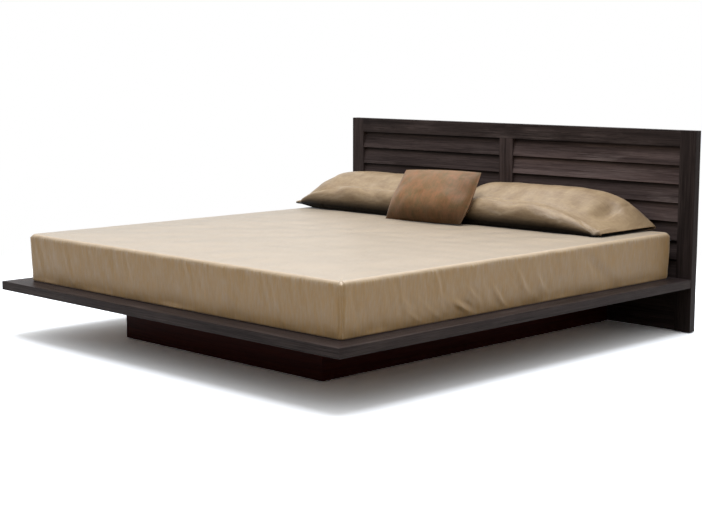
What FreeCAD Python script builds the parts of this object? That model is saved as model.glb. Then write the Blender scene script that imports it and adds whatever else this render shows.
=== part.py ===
import FreeCAD, Part
import math
import os

Vector = FreeCAD.Vector

# A king platform bed: a thin deck that overhangs a recessed plinth, and a headboard whose two
# louvred panels sit in a mortise-and-tenon frame. Sizes are in millimetres.
# X runs across the bed, Y from the foot to the head, and Z up from the floor.
# The origin is on the floor, in the middle of the bed's outline.

# Mattress in its fitted cover. The platform is as wide and as long as the mattress and its margins.
MATTRESS_WIDTH = 1930.0
MATTRESS_LENGTH = 2032.0
MATTRESS_THICKNESS = 209.0
MATTRESS_SIDE_MARGIN = 80.5
MATTRESS_FOOT_MARGIN = 88.0
MATTRESS_HEAD_MARGIN = 38.0
MATTRESS_CORNER = 30.0
MATTRESS_TOP_ROUND = 24.0
MATTRESS_CROWN = 4.0
MATTRESS_CROWN_INSET = 260.0
MATTRESS_BASE_INSET = 10.0
MATTRESS_WAIST = 5.0
MATTRESS_ROUND_STEPS = 4

# Platform
PLATFORM_THICKNESS = 38.0
BOARD_WIDTH = 140.0
SPLINE_THICKNESS = 6.0
SPLINE_WIDTH = 44.0
SPLINE_LENGTH = 90.0
BOARD_TENON_THICKNESS = 12.0
BOARD_TENON_LENGTH = 30.0
BOARD_TENON_SHOULDER = 20.0

# Headboard frame, a little wider than the platform
HEADBOARD_REVEAL = 2.0
HEADBOARD_HEIGHT = 889.0
FRAME_THICKNESS = 40.0
STILE_WIDTH = 79.0
TOP_RAIL_HEIGHT = 71.0
CENTER_STILE_WIDTH = 40.0
MID_RAIL_REVEAL = 2.0
TENON_THICKNESS = 13.0
TENON_LENGTH = 45.0
TOP_TENON_SHOULDER = 16.0
MID_TENON_SHOULDER = 8.0
STUB_TENON_WIDTH = 16.0
STUB_TENON_LENGTH = 21.0

# Louvres: each one leans back, and its top is tucked behind the one above
LOUVER_ROWS = 7
LOUVER_THICKNESS = 12.0
LOUVER_SETBACK = 3.0
LOUVER_AIR_GAP = 4.5
LOUVER_OVERLAP = 12.0
LOUVER_END_GAP = 0.5
HOUSING_DEPTH = 9.0

# Lower panel between the headboard's legs
PANEL_THICKNESS = 18.0
PANEL_RECESS = 12.0
PANEL_FLOOR_GAP = 3.0
PANEL_GROOVE = 10.0
PANEL_TONGUE = 6.0

# Dowels that join the two centre stiles
DOWEL_RADIUS = 4.0
DOWEL_LENGTH = 30.0
DOWEL_COUNT = 3

# Glides under the legs and the plinth
GLIDE_HEIGHT = 4.0
LEG_GLIDE_RADIUS = 13.0
PLINTH_GLIDE_RADIUS = 8.0

# Deck under the mattress
SLAT_COUNT = 12
SLAT_WIDTH = 90.0
SLAT_THICKNESS = 18.0
SLAT_END_GAP = 1.0
CLEAT_WIDTH = 25.0
JOIST_WIDTH = 70.0
JOIST_TENON_THICKNESS = 10.0
JOIST_TENON_LENGTH = 25.0
JOIST_TENON_SHOULDER = 10.0

# Plinth, set in under the platform
PLINTH_SIDE_INSET = 437.0
PLINTH_FOOT_INSET = 339.0
PLINTH_TOP = 201.0
PLINTH_PANEL = 18.0
CORNER_BLOCK_LEG = 45.0
CORNER_BLOCK_SETBACK = 20.0

# Bolts through the headboard's middle rail, each with a barrel nut in the platform
BOLT_RADIUS = 4.0
BOLT_REACH = 55.0
BOLT_HEAD_RADIUS = 8.0
BOLT_HEAD_HEIGHT = 6.0
BOLT_COUNTERBORE = 10.0
HEX_SOCKET_RADIUS = 3.5
HEX_SOCKET_DEPTH = 3.5
HEX_SIDES = 6
NUT_RADIUS = 7.0
NUT_LENGTH = 24.0
NUT_INSET = 45.0
BOLT_SPACING = 700.0
BOLT_COUNT = 3

# Countersunk screws that hold the joists down on the plinth
SCREW_RADIUS = 2.5
SCREW_LENGTH = 60.0
SCREW_HEAD_RADIUS = 5.0
SCREW_HEAD_HEIGHT = 3.0
SCREWS_PER_JOIST_COUNT = 2

# Pillows
PILLOW_LENGTH = 920.0
PILLOW_DEPTH = 440.0
PILLOW_THICKNESS = 180.0
PILLOW_HEM = 22.0
PILLOW_HEAD_GAP = 12.0
PILLOW_OVERHANG = 78.0
PILLOW_SPACING = 105.0

# Cushion that leans on both pillows
CUSHION_WIDTH = 470.0
CUSHION_HEIGHT = 276.0
CUSHION_THICKNESS = 138.0
CUSHION_SEAM = 8.0
CUSHION_LEAN = 34.0
CUSHION_OFFSET = -56.0

# Clearances and small radii
GLUE_FIT = 0.1
SOFT_CLEARANCE = 0.3
EDGE_ROUND = 2.0
OVERRUN = 5.0
SAME_PLACE = 1e-4

# Planes and outlines worked out from the driving dimensions
PLATFORM_WIDTH = MATTRESS_WIDTH + 2 * MATTRESS_SIDE_MARGIN
PLATFORM_LENGTH = MATTRESS_FOOT_MARGIN + MATTRESS_LENGTH + MATTRESS_HEAD_MARGIN
HEADBOARD_WIDTH = PLATFORM_WIDTH + 2 * HEADBOARD_REVEAL
PLINTH_WIDTH = PLATFORM_WIDTH - 2 * PLINTH_SIDE_INSET
FOOT_Y = -(PLATFORM_LENGTH + FRAME_THICKNESS) / 2
FACE_Y = FOOT_Y + PLATFORM_LENGTH
BACK_Y = FACE_Y + FRAME_THICKNESS
MIDDLE_Y = FACE_Y + FRAME_THICKNESS / 2
HEADBOARD_EDGE = HEADBOARD_WIDTH / 2
STILE_INNER = HEADBOARD_EDGE - STILE_WIDTH
RAIL_UNDERSIDE = HEADBOARD_HEIGHT - TOP_RAIL_HEIGHT
PLATFORM_TOP = PLINTH_TOP + PLATFORM_THICKNESS
PLATFORM_MIDDLE = PLINTH_TOP + PLATFORM_THICKNESS / 2
MID_RAIL_TOP = PLATFORM_TOP - MID_RAIL_REVEAL
LOUVER_PITCH = (RAIL_UNDERSIDE - MID_RAIL_TOP) / LOUVER_ROWS
LOUVER_SLOPE = (LOUVER_THICKNESS + LOUVER_AIR_GAP) / LOUVER_PITCH
PLATFORM_EDGE = PLATFORM_WIDTH / 2
BOARD_INNER = PLATFORM_EDGE - BOARD_WIDTH
DECK_FOOT = FOOT_Y + BOARD_WIDTH
DECK_HEAD = FACE_Y - BOARD_WIDTH
JOIST_TOP = PLATFORM_TOP - SLAT_THICKNESS
SLAT_GAP = (DECK_HEAD - DECK_FOOT - SLAT_COUNT * SLAT_WIDTH) / (SLAT_COUNT + 1)
PLINTH_EDGE = PLINTH_WIDTH / 2
PLINTH_INNER = PLINTH_EDGE - PLINTH_PANEL
PLINTH_FRONT = FOOT_Y + PLINTH_FOOT_INSET
MATTRESS_BASE = PLATFORM_TOP + SOFT_CLEARANCE
MATTRESS_TOP = MATTRESS_BASE + MATTRESS_THICKNESS
MATTRESS_MIDDLE_Y = FOOT_Y + MATTRESS_FOOT_MARGIN + MATTRESS_LENGTH / 2

parts = {}


def block(x_low, x_high, y_low, y_high, z_low, z_high):
    """Box between two corners."""
    return Part.makeBox(x_high - x_low, y_high - y_low, z_high - z_low, Vector(x_low, y_low, z_low))


def grown(limits, amount):
    """Limits of a box that is larger by one amount on every side."""
    x_low, x_high, y_low, y_high, z_low, z_high = limits
    return (x_low - amount, x_high + amount, y_low - amount, y_high + amount, z_low - amount, z_high + amount)


def prism(points, direction):
    """Solid swept straight from a closed outline of points."""
    outline = Part.makePolygon(points + [points[0]])
    return Part.Face(outline).extrude(direction)


def lies_at(edge, plane):
    """True where the whole edge lies in a plane, given as an axis number and a place on that axis."""
    axis, place = plane
    return all(abs(vertex.Point[axis] - place) < SAME_PLACE for vertex in edge.Vertexes)


def soften(solid, radius, planes):
    """Round each edge in which two of the given planes meet."""
    edges = [edge for edge in solid.Edges if sum(lies_at(edge, plane) for plane in planes) > 1]
    return solid.makeFillet(radius, edges)


def joined(solid, additions):
    """One solid from a piece and its tenons or bosses."""
    return solid.fuse(additions).removeSplitter()


def mirrored(shape):
    """The same piece on the other side of the bed."""
    return shape.mirror(Vector(0, 0, 0), Vector(1, 0, 0))


def cylinder(radius, length, base, direction):
    """Round bar from its base point along a direction."""
    return Part.makeCylinder(radius, length, base, direction)


# Louvres. A louvre's section is a level-cut parallelogram: its front face starts just behind the
# frame's face and leans back by its own thickness and an air gap over each row.

def louver(x_low, x_high, row, grow=0.0):
    """One louvre, or with grow the larger tool that cuts its housing."""
    row_z = MID_RAIL_TOP + row * LOUVER_PITCH
    z_low = row_z - grow
    z_high = row_z + LOUVER_PITCH + LOUVER_OVERLAP + grow

    def front(z):
        return FACE_Y + LOUVER_SETBACK - grow + (z - row_z) * LOUVER_SLOPE

    depth = LOUVER_THICKNESS + 2 * grow
    corners = [
        Vector(x_low, front(z_low), z_low),
        Vector(x_low, front(z_low) + depth, z_low),
        Vector(x_low, front(z_high) + depth, z_high),
        Vector(x_low, front(z_high), z_high),
    ]
    return prism(corners, Vector(x_high - x_low, 0, 0))


LOUVER_OUTER = STILE_INNER + HOUSING_DEPTH
LOUVER_INNER = CENTER_STILE_WIDTH - HOUSING_DEPTH


def louver_housings():
    """Tools for all housings of the right-hand panel, a little longer than the louvres."""
    return [louver(LOUVER_INNER, LOUVER_OUTER, row, GLUE_FIT) for row in range(LOUVER_ROWS)]


housings = louver_housings()
for row in range(LOUVER_ROWS):
    sharp = louver(LOUVER_INNER + LOUVER_END_GAP, LOUVER_OUTER - LOUVER_END_GAP, row)
    lower_edge = [(1, FACE_Y + LOUVER_SETBACK), (2, MID_RAIL_TOP + row * LOUVER_PITCH)]
    right_louver = soften(sharp, EDGE_ROUND, lower_edge)
    parts["louver_right_%d" % (row + 1)] = right_louver
    parts["louver_left_%d" % (row + 1)] = mirrored(right_louver)


# Headboard frame. The rails' tenons enter the stiles, and the centre stiles' stub tenons enter the rails.

TENON_FRONT = MIDDLE_Y - TENON_THICKNESS / 2
TENON_BACK = MIDDLE_Y + TENON_THICKNESS / 2
top_tenon = (
    STILE_INNER, STILE_INNER + TENON_LENGTH, TENON_FRONT, TENON_BACK,
    RAIL_UNDERSIDE + TOP_TENON_SHOULDER, HEADBOARD_HEIGHT - TOP_TENON_SHOULDER,
)
mid_tenon = (
    STILE_INNER, STILE_INNER + TENON_LENGTH, TENON_FRONT, TENON_BACK,
    PLINTH_TOP + MID_TENON_SHOULDER, MID_RAIL_TOP - MID_TENON_SHOULDER,
)
lower_panel = (
    -STILE_INNER - PANEL_GROOVE, STILE_INNER + PANEL_GROOVE,
    FACE_Y + PANEL_RECESS, FACE_Y + PANEL_RECESS + PANEL_THICKNESS,
    PANEL_FLOOR_GAP, PLINTH_TOP + PANEL_TONGUE,
)


def stub_tenon(z_low, z_high):
    """Limits of the right centre stile's stub tenon between two heights."""
    x_low = (CENTER_STILE_WIDTH - STUB_TENON_WIDTH) / 2
    return (x_low, x_low + STUB_TENON_WIDTH, TENON_FRONT, TENON_BACK, z_low, z_high)


upper_stub = stub_tenon(RAIL_UNDERSIDE, RAIL_UNDERSIDE + STUB_TENON_LENGTH)
lower_stub = stub_tenon(MID_RAIL_TOP - STUB_TENON_LENGTH, MID_RAIL_TOP)


def right_stile():
    """Stile and leg in one, with mortises, louvre housings and the lower panel's groove."""
    limits = (STILE_INNER, HEADBOARD_EDGE, FACE_Y, BACK_Y, GLIDE_HEIGHT, HEADBOARD_HEIGHT)
    outside = [(0, HEADBOARD_EDGE), (1, FACE_Y), (1, BACK_Y), (2, HEADBOARD_HEIGHT)]
    stile = soften(block(*limits), EDGE_ROUND, outside)
    tools = housings + [
        block(*grown(top_tenon, GLUE_FIT)),
        block(*grown(mid_tenon, GLUE_FIT)),
        block(*grown(lower_panel, GLUE_FIT)),
    ]
    return stile.cut(tools)


def right_center_stile():
    """Narrow stile beside the centre line, with a stub tenon at each end."""
    body = block(0, CENTER_STILE_WIDTH, FACE_Y, BACK_Y, MID_RAIL_TOP, RAIL_UNDERSIDE)
    stile = joined(body, [block(*upper_stub), block(*lower_stub)])
    return stile.cut(housings + center_dowels())


def center_dowels():
    """Dowels that cross the seam between the centre stiles, spread evenly up it."""
    spacing = (RAIL_UNDERSIDE - MID_RAIL_TOP) / (DOWEL_COUNT + 1)
    heights = [MID_RAIL_TOP + spacing * (number + 1) for number in range(DOWEL_COUNT)]
    starts = [Vector(-DOWEL_LENGTH / 2, MIDDLE_Y, z) for z in heights]
    return [cylinder(DOWEL_RADIUS, DOWEL_LENGTH, start, Vector(1, 0, 0)) for start in starts]


def top_rail():
    """Rail along the top: tenons at its ends, grooves and stub mortises in its underside."""
    limits = (-STILE_INNER, STILE_INNER, FACE_Y, BACK_Y, RAIL_UNDERSIDE, HEADBOARD_HEIGHT)
    body = soften(block(*limits), EDGE_ROUND, [(1, FACE_Y), (1, BACK_Y), (2, HEADBOARD_HEIGHT)])
    tenon = block(*top_tenon)
    stub = block(*grown(upper_stub, GLUE_FIT))
    rail = joined(body, [tenon, mirrored(tenon)])
    top_housing = housings[-1]
    return rail.cut([top_housing, mirrored(top_housing), stub, mirrored(stub)])


def middle_rail(bolts):
    """Rail at the platform's height: it carries the louvres, and takes the bolts and the lower panel."""
    body = block(-STILE_INNER, STILE_INNER, FACE_Y, BACK_Y, PLINTH_TOP, MID_RAIL_TOP)
    tenon = block(*mid_tenon)
    stub = block(*grown(lower_stub, GLUE_FIT))
    floors = [Vector(x, BACK_Y - BOLT_COUNTERBORE, PLATFORM_MIDDLE) for x in bolt_places()]
    counterbores = [cylinder(BOLT_HEAD_RADIUS, BOLT_COUNTERBORE, floor, Vector(0, 1, 0)) for floor in floors]
    rail = joined(body, [tenon, mirrored(tenon)])
    return rail.cut([stub, mirrored(stub), block(*grown(lower_panel, GLUE_FIT))] + counterbores + bolts)


# Bolts and barrel nuts between the headboard and the platform

def bolt_places():
    """Places of the bolts across the bed, evenly spaced about the centre line."""
    first = -BOLT_SPACING * (BOLT_COUNT - 1) / 2
    return [first + number * BOLT_SPACING for number in range(BOLT_COUNT)]


def bed_bolt(x):
    """Bolt from its head in the middle rail's counterbore to its tip in the platform."""
    head_y = BACK_Y - BOLT_COUNTERBORE
    toward_foot = Vector(0, -1, 0)
    shank_length = head_y - (FACE_Y - BOLT_REACH)
    shank = cylinder(BOLT_RADIUS, shank_length, Vector(x, head_y, PLATFORM_MIDDLE), toward_foot)
    head = cylinder(BOLT_HEAD_RADIUS, BOLT_HEAD_HEIGHT, Vector(x, head_y, PLATFORM_MIDDLE), Vector(0, 1, 0))
    socket_y = head_y + BOLT_HEAD_HEIGHT - HEX_SOCKET_DEPTH
    corners = []
    for corner in range(HEX_SIDES):
        turn = 2 * math.pi * corner / HEX_SIDES
        across = HEX_SOCKET_RADIUS * math.cos(turn)
        up = HEX_SOCKET_RADIUS * math.sin(turn)
        corners.append(Vector(x + across, socket_y, PLATFORM_MIDDLE + up))
    socket = prism(corners, Vector(0, HEX_SOCKET_DEPTH + OVERRUN, 0))
    return joined(head, [shank]).cut(socket)


def barrel_nut_blank(x):
    """Upright barrel without its cross hole."""
    foot = Vector(x, FACE_Y - NUT_INSET, PLATFORM_MIDDLE - NUT_LENGTH / 2)
    return cylinder(NUT_RADIUS, NUT_LENGTH, foot, Vector(0, 0, 1))


def barrel_nut_hole(x):
    """Hole that the nut goes up into from the platform's underside."""
    length = PLATFORM_THICKNESS / 2 + NUT_LENGTH / 2
    foot = Vector(x, FACE_Y - NUT_INSET, PLINTH_TOP)
    return cylinder(NUT_RADIUS, length, foot, Vector(0, 0, 1))


bolts = [bed_bolt(x) for x in bolt_places()]
barrel_nuts = [barrel_nut_blank(x).cut(bolt) for x, bolt in zip(bolt_places(), bolts)]
parts["bed_bolts"] = Part.makeCompound(bolts)
parts["barrel_nuts"] = Part.makeCompound(barrel_nuts)

stile = right_stile()
center_stile = right_center_stile()
leg_glide_foot = Vector(HEADBOARD_EDGE - STILE_WIDTH / 2, MIDDLE_Y, 0)
leg_glide = cylinder(LEG_GLIDE_RADIUS, GLIDE_HEIGHT, leg_glide_foot, Vector(0, 0, 1))
parts["headboard_stile_right"] = stile
parts["headboard_stile_left"] = mirrored(stile)
parts["center_stile_right"] = center_stile
parts["center_stile_left"] = mirrored(center_stile)
parts["center_stile_dowels"] = Part.makeCompound(center_dowels())
parts["headboard_top_rail"] = top_rail()
parts["headboard_middle_rail"] = middle_rail(bolts)
parts["headboard_lower_panel"] = block(*lower_panel)
parts["leg_glides"] = Part.makeCompound([leg_glide, mirrored(leg_glide)])


# Platform. The foot corners are mitred over a loose spline, and the head board and the joists are tenoned.

def mitre_spline():
    """Loose spline across the right foot mitre, square to the joint."""
    limits = (
        -SPLINE_LENGTH / 2, SPLINE_LENGTH / 2, -SPLINE_WIDTH / 2, SPLINE_WIDTH / 2,
        -SPLINE_THICKNESS / 2, SPLINE_THICKNESS / 2,
    )
    spline = block(*limits)
    eighth_turn = 45.0
    spline.rotate(Vector(0, 0, 0), Vector(0, 0, 1), -eighth_turn)
    middle = BOARD_WIDTH / 2
    spline.translate(Vector(PLATFORM_EDGE - middle, FOOT_Y + middle, PLATFORM_MIDDLE))
    return spline


def deck_tenon(x_low, x_high, y_low, y_high, thickness):
    """Limits of a flat tenon at the middle of the given height."""
    return (x_low, x_high, y_low, y_high, -thickness / 2, thickness / 2)


def raised(limits, height):
    """The same limits, moved up by a height."""
    return limits[:4] + (limits[4] + height, limits[5] + height)


head_board_tenon = raised(deck_tenon(
    BOARD_INNER, BOARD_INNER + BOARD_TENON_LENGTH,
    DECK_HEAD + BOARD_TENON_SHOULDER, FACE_Y - BOARD_TENON_SHOULDER,
    BOARD_TENON_THICKNESS), PLATFORM_MIDDLE)


def joist_centers():
    """Places of the three joists: one over each plinth side and one on the centre line."""
    side = PLINTH_EDGE - JOIST_WIDTH / 2
    return {"left": -side, "center": 0.0, "right": side}


def joist_tenons(x):
    """Limits of the tenons at the foot end and at the head end of a joist."""
    half = JOIST_WIDTH / 2 - JOIST_TENON_SHOULDER
    height = (PLINTH_TOP + JOIST_TOP) / 2
    foot = deck_tenon(x - half, x + half, DECK_FOOT - JOIST_TENON_LENGTH, DECK_FOOT, JOIST_TENON_THICKNESS)
    head = deck_tenon(x - half, x + half, DECK_HEAD, DECK_HEAD + JOIST_TENON_LENGTH, JOIST_TENON_THICKNESS)
    return [raised(foot, height), raised(head, height)]


def joist_mortises():
    """Tools for the joists' mortises in the foot board and the head board."""
    return [block(*grown(limits, GLUE_FIT)) for x in joist_centers().values() for limits in joist_tenons(x)]


def foot_board():
    """Board across the foot, mitred at both ends."""
    corners = [
        Vector(-PLATFORM_EDGE, FOOT_Y, PLINTH_TOP),
        Vector(PLATFORM_EDGE, FOOT_Y, PLINTH_TOP),
        Vector(BOARD_INNER, DECK_FOOT, PLINTH_TOP),
        Vector(-BOARD_INNER, DECK_FOOT, PLINTH_TOP),
    ]
    board = prism(corners, Vector(0, 0, PLATFORM_THICKNESS))
    board = soften(board, EDGE_ROUND, [(1, FOOT_Y), (2, PLINTH_TOP), (2, PLATFORM_TOP)])
    spline = mitre_spline()
    return board.cut([spline, mirrored(spline)] + joist_mortises())


def right_side_board():
    """Board along the side, mitred at the foot and square at the head."""
    corners = [
        Vector(PLATFORM_EDGE, FOOT_Y, PLINTH_TOP),
        Vector(PLATFORM_EDGE, FACE_Y, PLINTH_TOP),
        Vector(BOARD_INNER, FACE_Y, PLINTH_TOP),
        Vector(BOARD_INNER, DECK_FOOT, PLINTH_TOP),
    ]
    board = prism(corners, Vector(0, 0, PLATFORM_THICKNESS))
    board = soften(board, EDGE_ROUND, [(0, PLATFORM_EDGE), (2, PLINTH_TOP), (2, PLATFORM_TOP)])
    return board.cut([mitre_spline(), block(*grown(head_board_tenon, GLUE_FIT))])


def head_board(bolts):
    """Board against the headboard, tenoned between the side boards."""
    body = block(-BOARD_INNER, BOARD_INNER, DECK_HEAD, FACE_Y, PLINTH_TOP, PLATFORM_TOP)
    tenon = block(*head_board_tenon)
    board = joined(body, [tenon, mirrored(tenon)])
    nut_holes = [barrel_nut_hole(x) for x in bolt_places()]
    return board.cut(joist_mortises() + nut_holes + bolts)


side_board = right_side_board()
spline = mitre_spline()
parts["platform_foot_board"] = foot_board()
parts["platform_side_board_right"] = side_board
parts["platform_side_board_left"] = mirrored(side_board)
parts["platform_head_board"] = head_board(bolts)
parts["mitre_splines"] = Part.makeCompound([spline, mirrored(spline)])


# Deck: cleats and joists carry the slats, whose tops are level with the boards round them

def screw_rows():
    """Places of the screws along a joist: in the gaps between slats, at even shares of the slats."""
    rows = range(SCREWS_PER_JOIST_COUNT)
    slats_before = [SLAT_COUNT * (2 * row + 1) // (2 * SCREWS_PER_JOIST_COUNT) for row in rows]
    return [DECK_FOOT + number * (SLAT_WIDTH + SLAT_GAP) + SLAT_GAP / 2 for number in slats_before]


def countersunk_screw(x, y):
    """Screw down through a joist into the plinth, its head flush with the joist."""
    neck = Vector(x, y, JOIST_TOP - SCREW_HEAD_HEIGHT)
    head = Part.makeCone(SCREW_RADIUS, SCREW_HEAD_RADIUS, SCREW_HEAD_HEIGHT, neck, Vector(0, 0, 1))
    shank = cylinder(SCREW_RADIUS, SCREW_LENGTH, neck, Vector(0, 0, -1))
    return joined(head, [shank])


def screw_lines():
    """Places across the bed where screws enter the middle of a plinth panel's top edge."""
    side = PLINTH_EDGE - PLINTH_PANEL / 2
    return (-side, 0.0, side)


screws = [countersunk_screw(x, y) for x in screw_lines() for y in screw_rows()]

for name, x in joist_centers().items():
    body = block(x - JOIST_WIDTH / 2, x + JOIST_WIDTH / 2, DECK_FOOT, DECK_HEAD, PLINTH_TOP, JOIST_TOP)
    joist = joined(body, [block(*limits) for limits in joist_tenons(x)])
    parts["joist_" + name] = joist.cut(screws)

cleat = block(BOARD_INNER - CLEAT_WIDTH, BOARD_INNER, DECK_FOOT, DECK_HEAD, PLINTH_TOP, JOIST_TOP)
parts["side_cleat_right"] = cleat
parts["side_cleat_left"] = mirrored(cleat)

slat_reach = BOARD_INNER - SLAT_END_GAP
for number in range(SLAT_COUNT):
    y_low = DECK_FOOT + SLAT_GAP + number * (SLAT_WIDTH + SLAT_GAP)
    slat = block(-slat_reach, slat_reach, y_low, y_low + SLAT_WIDTH, JOIST_TOP, PLATFORM_TOP)
    parts["deck_slat_%02d" % (number + 1)] = slat


# Plinth: mitred at its front corners, with a back panel and a divider under the centre joist

def plinth_panel(corners):
    """Upright panel from its outline on the glides up to the joists."""
    outline = [Vector(x, y, GLIDE_HEIGHT) for x, y in corners]
    return prism(outline, Vector(0, 0, PLINTH_TOP - GLIDE_HEIGHT))


def corner_block(x, y, toward_x, toward_y):
    """Three-sided glue block in a corner, its legs along the two panels."""
    outline = [
        Vector(x, y, GLIDE_HEIGHT + CORNER_BLOCK_SETBACK),
        Vector(x + toward_x * CORNER_BLOCK_LEG, y, GLIDE_HEIGHT + CORNER_BLOCK_SETBACK),
        Vector(x, y + toward_y * CORNER_BLOCK_LEG, GLIDE_HEIGHT + CORNER_BLOCK_SETBACK),
    ]
    return prism(outline, Vector(0, 0, PLINTH_TOP - GLIDE_HEIGHT - 2 * CORNER_BLOCK_SETBACK))


def plinth_glide(x, y):
    """Round glide under a plinth panel's lower edge."""
    return cylinder(PLINTH_GLIDE_RADIUS, GLIDE_HEIGHT, Vector(x, y, 0), Vector(0, 0, 1))


inner_front = PLINTH_FRONT + PLINTH_PANEL
inner_back = FACE_Y - PLINTH_PANEL
glide_rows = (PLINTH_FRONT + CORNER_BLOCK_LEG, FACE_Y - CORNER_BLOCK_LEG)
plinth_glides = [plinth_glide(x, y) for x in screw_lines() for y in glide_rows]
front_outline = [
    (-PLINTH_EDGE, PLINTH_FRONT), (PLINTH_EDGE, PLINTH_FRONT),
    (PLINTH_INNER, inner_front), (-PLINTH_INNER, inner_front),
]
side_outline = [
    (PLINTH_EDGE, PLINTH_FRONT), (PLINTH_EDGE, FACE_Y),
    (PLINTH_INNER, FACE_Y), (PLINTH_INNER, inner_front),
]
back_outline = [
    (-PLINTH_INNER, inner_back), (PLINTH_INNER, inner_back),
    (PLINTH_INNER, FACE_Y), (-PLINTH_INNER, FACE_Y),
]
divider_outline = [
    (-PLINTH_PANEL / 2, inner_front), (PLINTH_PANEL / 2, inner_front),
    (PLINTH_PANEL / 2, inner_back), (-PLINTH_PANEL / 2, inner_back),
]
plinth_side = plinth_panel(side_outline).cut(screws)
parts["plinth_front"] = plinth_panel(front_outline)
parts["plinth_side_right"] = plinth_side
parts["plinth_side_left"] = mirrored(plinth_side)
parts["plinth_back"] = plinth_panel(back_outline)
parts["plinth_divider"] = plinth_panel(divider_outline).cut(screws)
parts["plinth_corner_blocks"] = Part.makeCompound([
    corner_block(-PLINTH_INNER, inner_front, 1, 1), corner_block(PLINTH_INNER, inner_front, -1, 1),
    corner_block(-PLINTH_INNER, inner_back, 1, -1), corner_block(PLINTH_INNER, inner_back, -1, -1),
])
parts["plinth_glides"] = Part.makeCompound(plinth_glides)
parts["joist_screws"] = Part.makeCompound(screws)


# Mattress: rounded rectangles lofted upwards, from a base that is drawn in, past the waist and the
# full shoulder, over the rounded top edge and up to a low crown

def rounded_outline(inset, corner, z):
    """Closed outline of four lines and four corner arcs, at a height."""
    half_x = MATTRESS_WIDTH / 2 - inset
    half_y = MATTRESS_LENGTH / 2 - inset
    diagonal = corner * math.sqrt(0.5)
    arcs = []
    for sign_x, sign_y in ((1, 1), (-1, 1), (-1, -1), (1, -1)):
        center = Vector(sign_x * (half_x - corner), MATTRESS_MIDDLE_Y + sign_y * (half_y - corner), z)
        side = center + Vector(sign_x * corner, 0, 0)
        end = center + Vector(0, sign_y * corner, 0)
        middle = center + Vector(sign_x * diagonal, sign_y * diagonal, 0)
        arcs.append((side, middle, end) if sign_x == sign_y else (end, middle, side))
    edges = []
    for number, (start, middle, end) in enumerate(arcs):
        following_start = arcs[(number + 1) % len(arcs)][0]
        edges.append(Part.Arc(start, middle, end).toShape())
        edges.append(Part.LineSegment(end, following_start).toShape())
    return Part.Wire(edges)


def mattress():
    """Straight-sided loft through the outlines, with the top edge's round in equal turns."""
    outlines = [
        rounded_outline(MATTRESS_BASE_INSET, MATTRESS_CORNER, MATTRESS_BASE),
        rounded_outline(MATTRESS_WAIST, MATTRESS_CORNER, (MATTRESS_BASE + MATTRESS_TOP) / 2),
    ]
    shoulder_z = MATTRESS_TOP - MATTRESS_CROWN - MATTRESS_TOP_ROUND
    for step in range(MATTRESS_ROUND_STEPS + 1):
        turn = math.pi / 2 * step / MATTRESS_ROUND_STEPS
        inset = MATTRESS_TOP_ROUND * (1 - math.cos(turn))
        rise = MATTRESS_TOP_ROUND * math.sin(turn)
        outlines.append(rounded_outline(inset, MATTRESS_CORNER - inset / 2, shoulder_z + rise))
    outlines.append(rounded_outline(MATTRESS_CROWN_INSET, MATTRESS_CORNER, MATTRESS_TOP))
    return Part.makeLoft(outlines, True, True)


parts["mattress"] = mattress()


# Pillows: sections across the pillow, lofted from its sewn end to its open end

PILLOW_STATIONS = 15
SEWN_END_FULLNESS = 5.0
LEFT_OPEN_END_FULLNESS = 1.9
RIGHT_OPEN_END_FULLNESS = 2.5
PILLOW_WAIST_SHARE = 0.05
EQUATOR_SHARE = 0.24
FLAT_BASE_SHARE = 0.66
CROWN_WIDTH_SHARE = 0.56
CROWN_RISE_SHARE = 0.17


def tangent_arc(start, direction, end):
    """Arc that leaves its start along a direction and ends at a given point."""
    chord = end - start
    normal = Vector(0, -direction.z, direction.y)
    if normal.dot(chord) < 0:
        normal = -normal
    radius = chord.dot(chord) / (2 * normal.dot(chord))
    center = start + normal * radius
    middle = (start - center) + (end - center)
    return Part.Arc(start, center + middle.normalize() * radius, end).toShape()


def pillow_section(x, depth, thickness):
    """Flat base, two rounded lower edges, two shoulders and a crown, in a plane across the pillow."""
    half = depth / 2
    equator = thickness * EQUATOR_SHARE
    crown_rise = thickness * CROWN_RISE_SHARE
    crown_half = half * CROWN_WIDTH_SHARE
    base_half = half * FLAT_BASE_SHARE
    front = Vector(x, -half, equator)
    back = Vector(x, half, equator)
    base_front = Vector(x, -base_half, 0)
    base_back = Vector(x, base_half, 0)
    crown_front = Vector(x, -crown_half, thickness - crown_rise)
    crown_back = Vector(x, crown_half, thickness - crown_rise)
    crown_angle = 2 * math.atan2(crown_rise, crown_half)
    leaving_front = Vector(0, -math.cos(crown_angle), -math.sin(crown_angle))
    leaving_back = Vector(0, math.cos(crown_angle), -math.sin(crown_angle))
    return Part.Wire([
        Part.LineSegment(base_front, base_back).toShape(),
        tangent_arc(base_back, Vector(0, 1, 0), back),
        tangent_arc(crown_back, leaving_back, back),
        Part.Arc(crown_back, Vector(x, 0, thickness), crown_front).toShape(),
        tangent_arc(crown_front, leaving_front, front),
        tangent_arc(base_front, Vector(0, -1, 0), front),
    ])


def pillow(open_end_fullness):
    """Pillow with its open end to the right. Its stations crowd towards the ends, where it swells quickly."""
    sections = []
    for number in range(PILLOW_STATIONS):
        station = -math.cos(math.pi * number / (PILLOW_STATIONS - 1))
        fullness = SEWN_END_FULLNESS if station < 0 else open_end_fullness
        swell = math.sqrt(max(1 - abs(station) ** fullness, 0))
        thickness = PILLOW_HEM + (PILLOW_THICKNESS - PILLOW_HEM) * swell
        depth = PILLOW_DEPTH * (1 - PILLOW_WAIST_SHARE * (1 - station ** 2))
        sections.append(pillow_section(station * PILLOW_LENGTH / 2, depth, thickness))
    return Part.makeLoft(sections, True, True)


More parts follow.
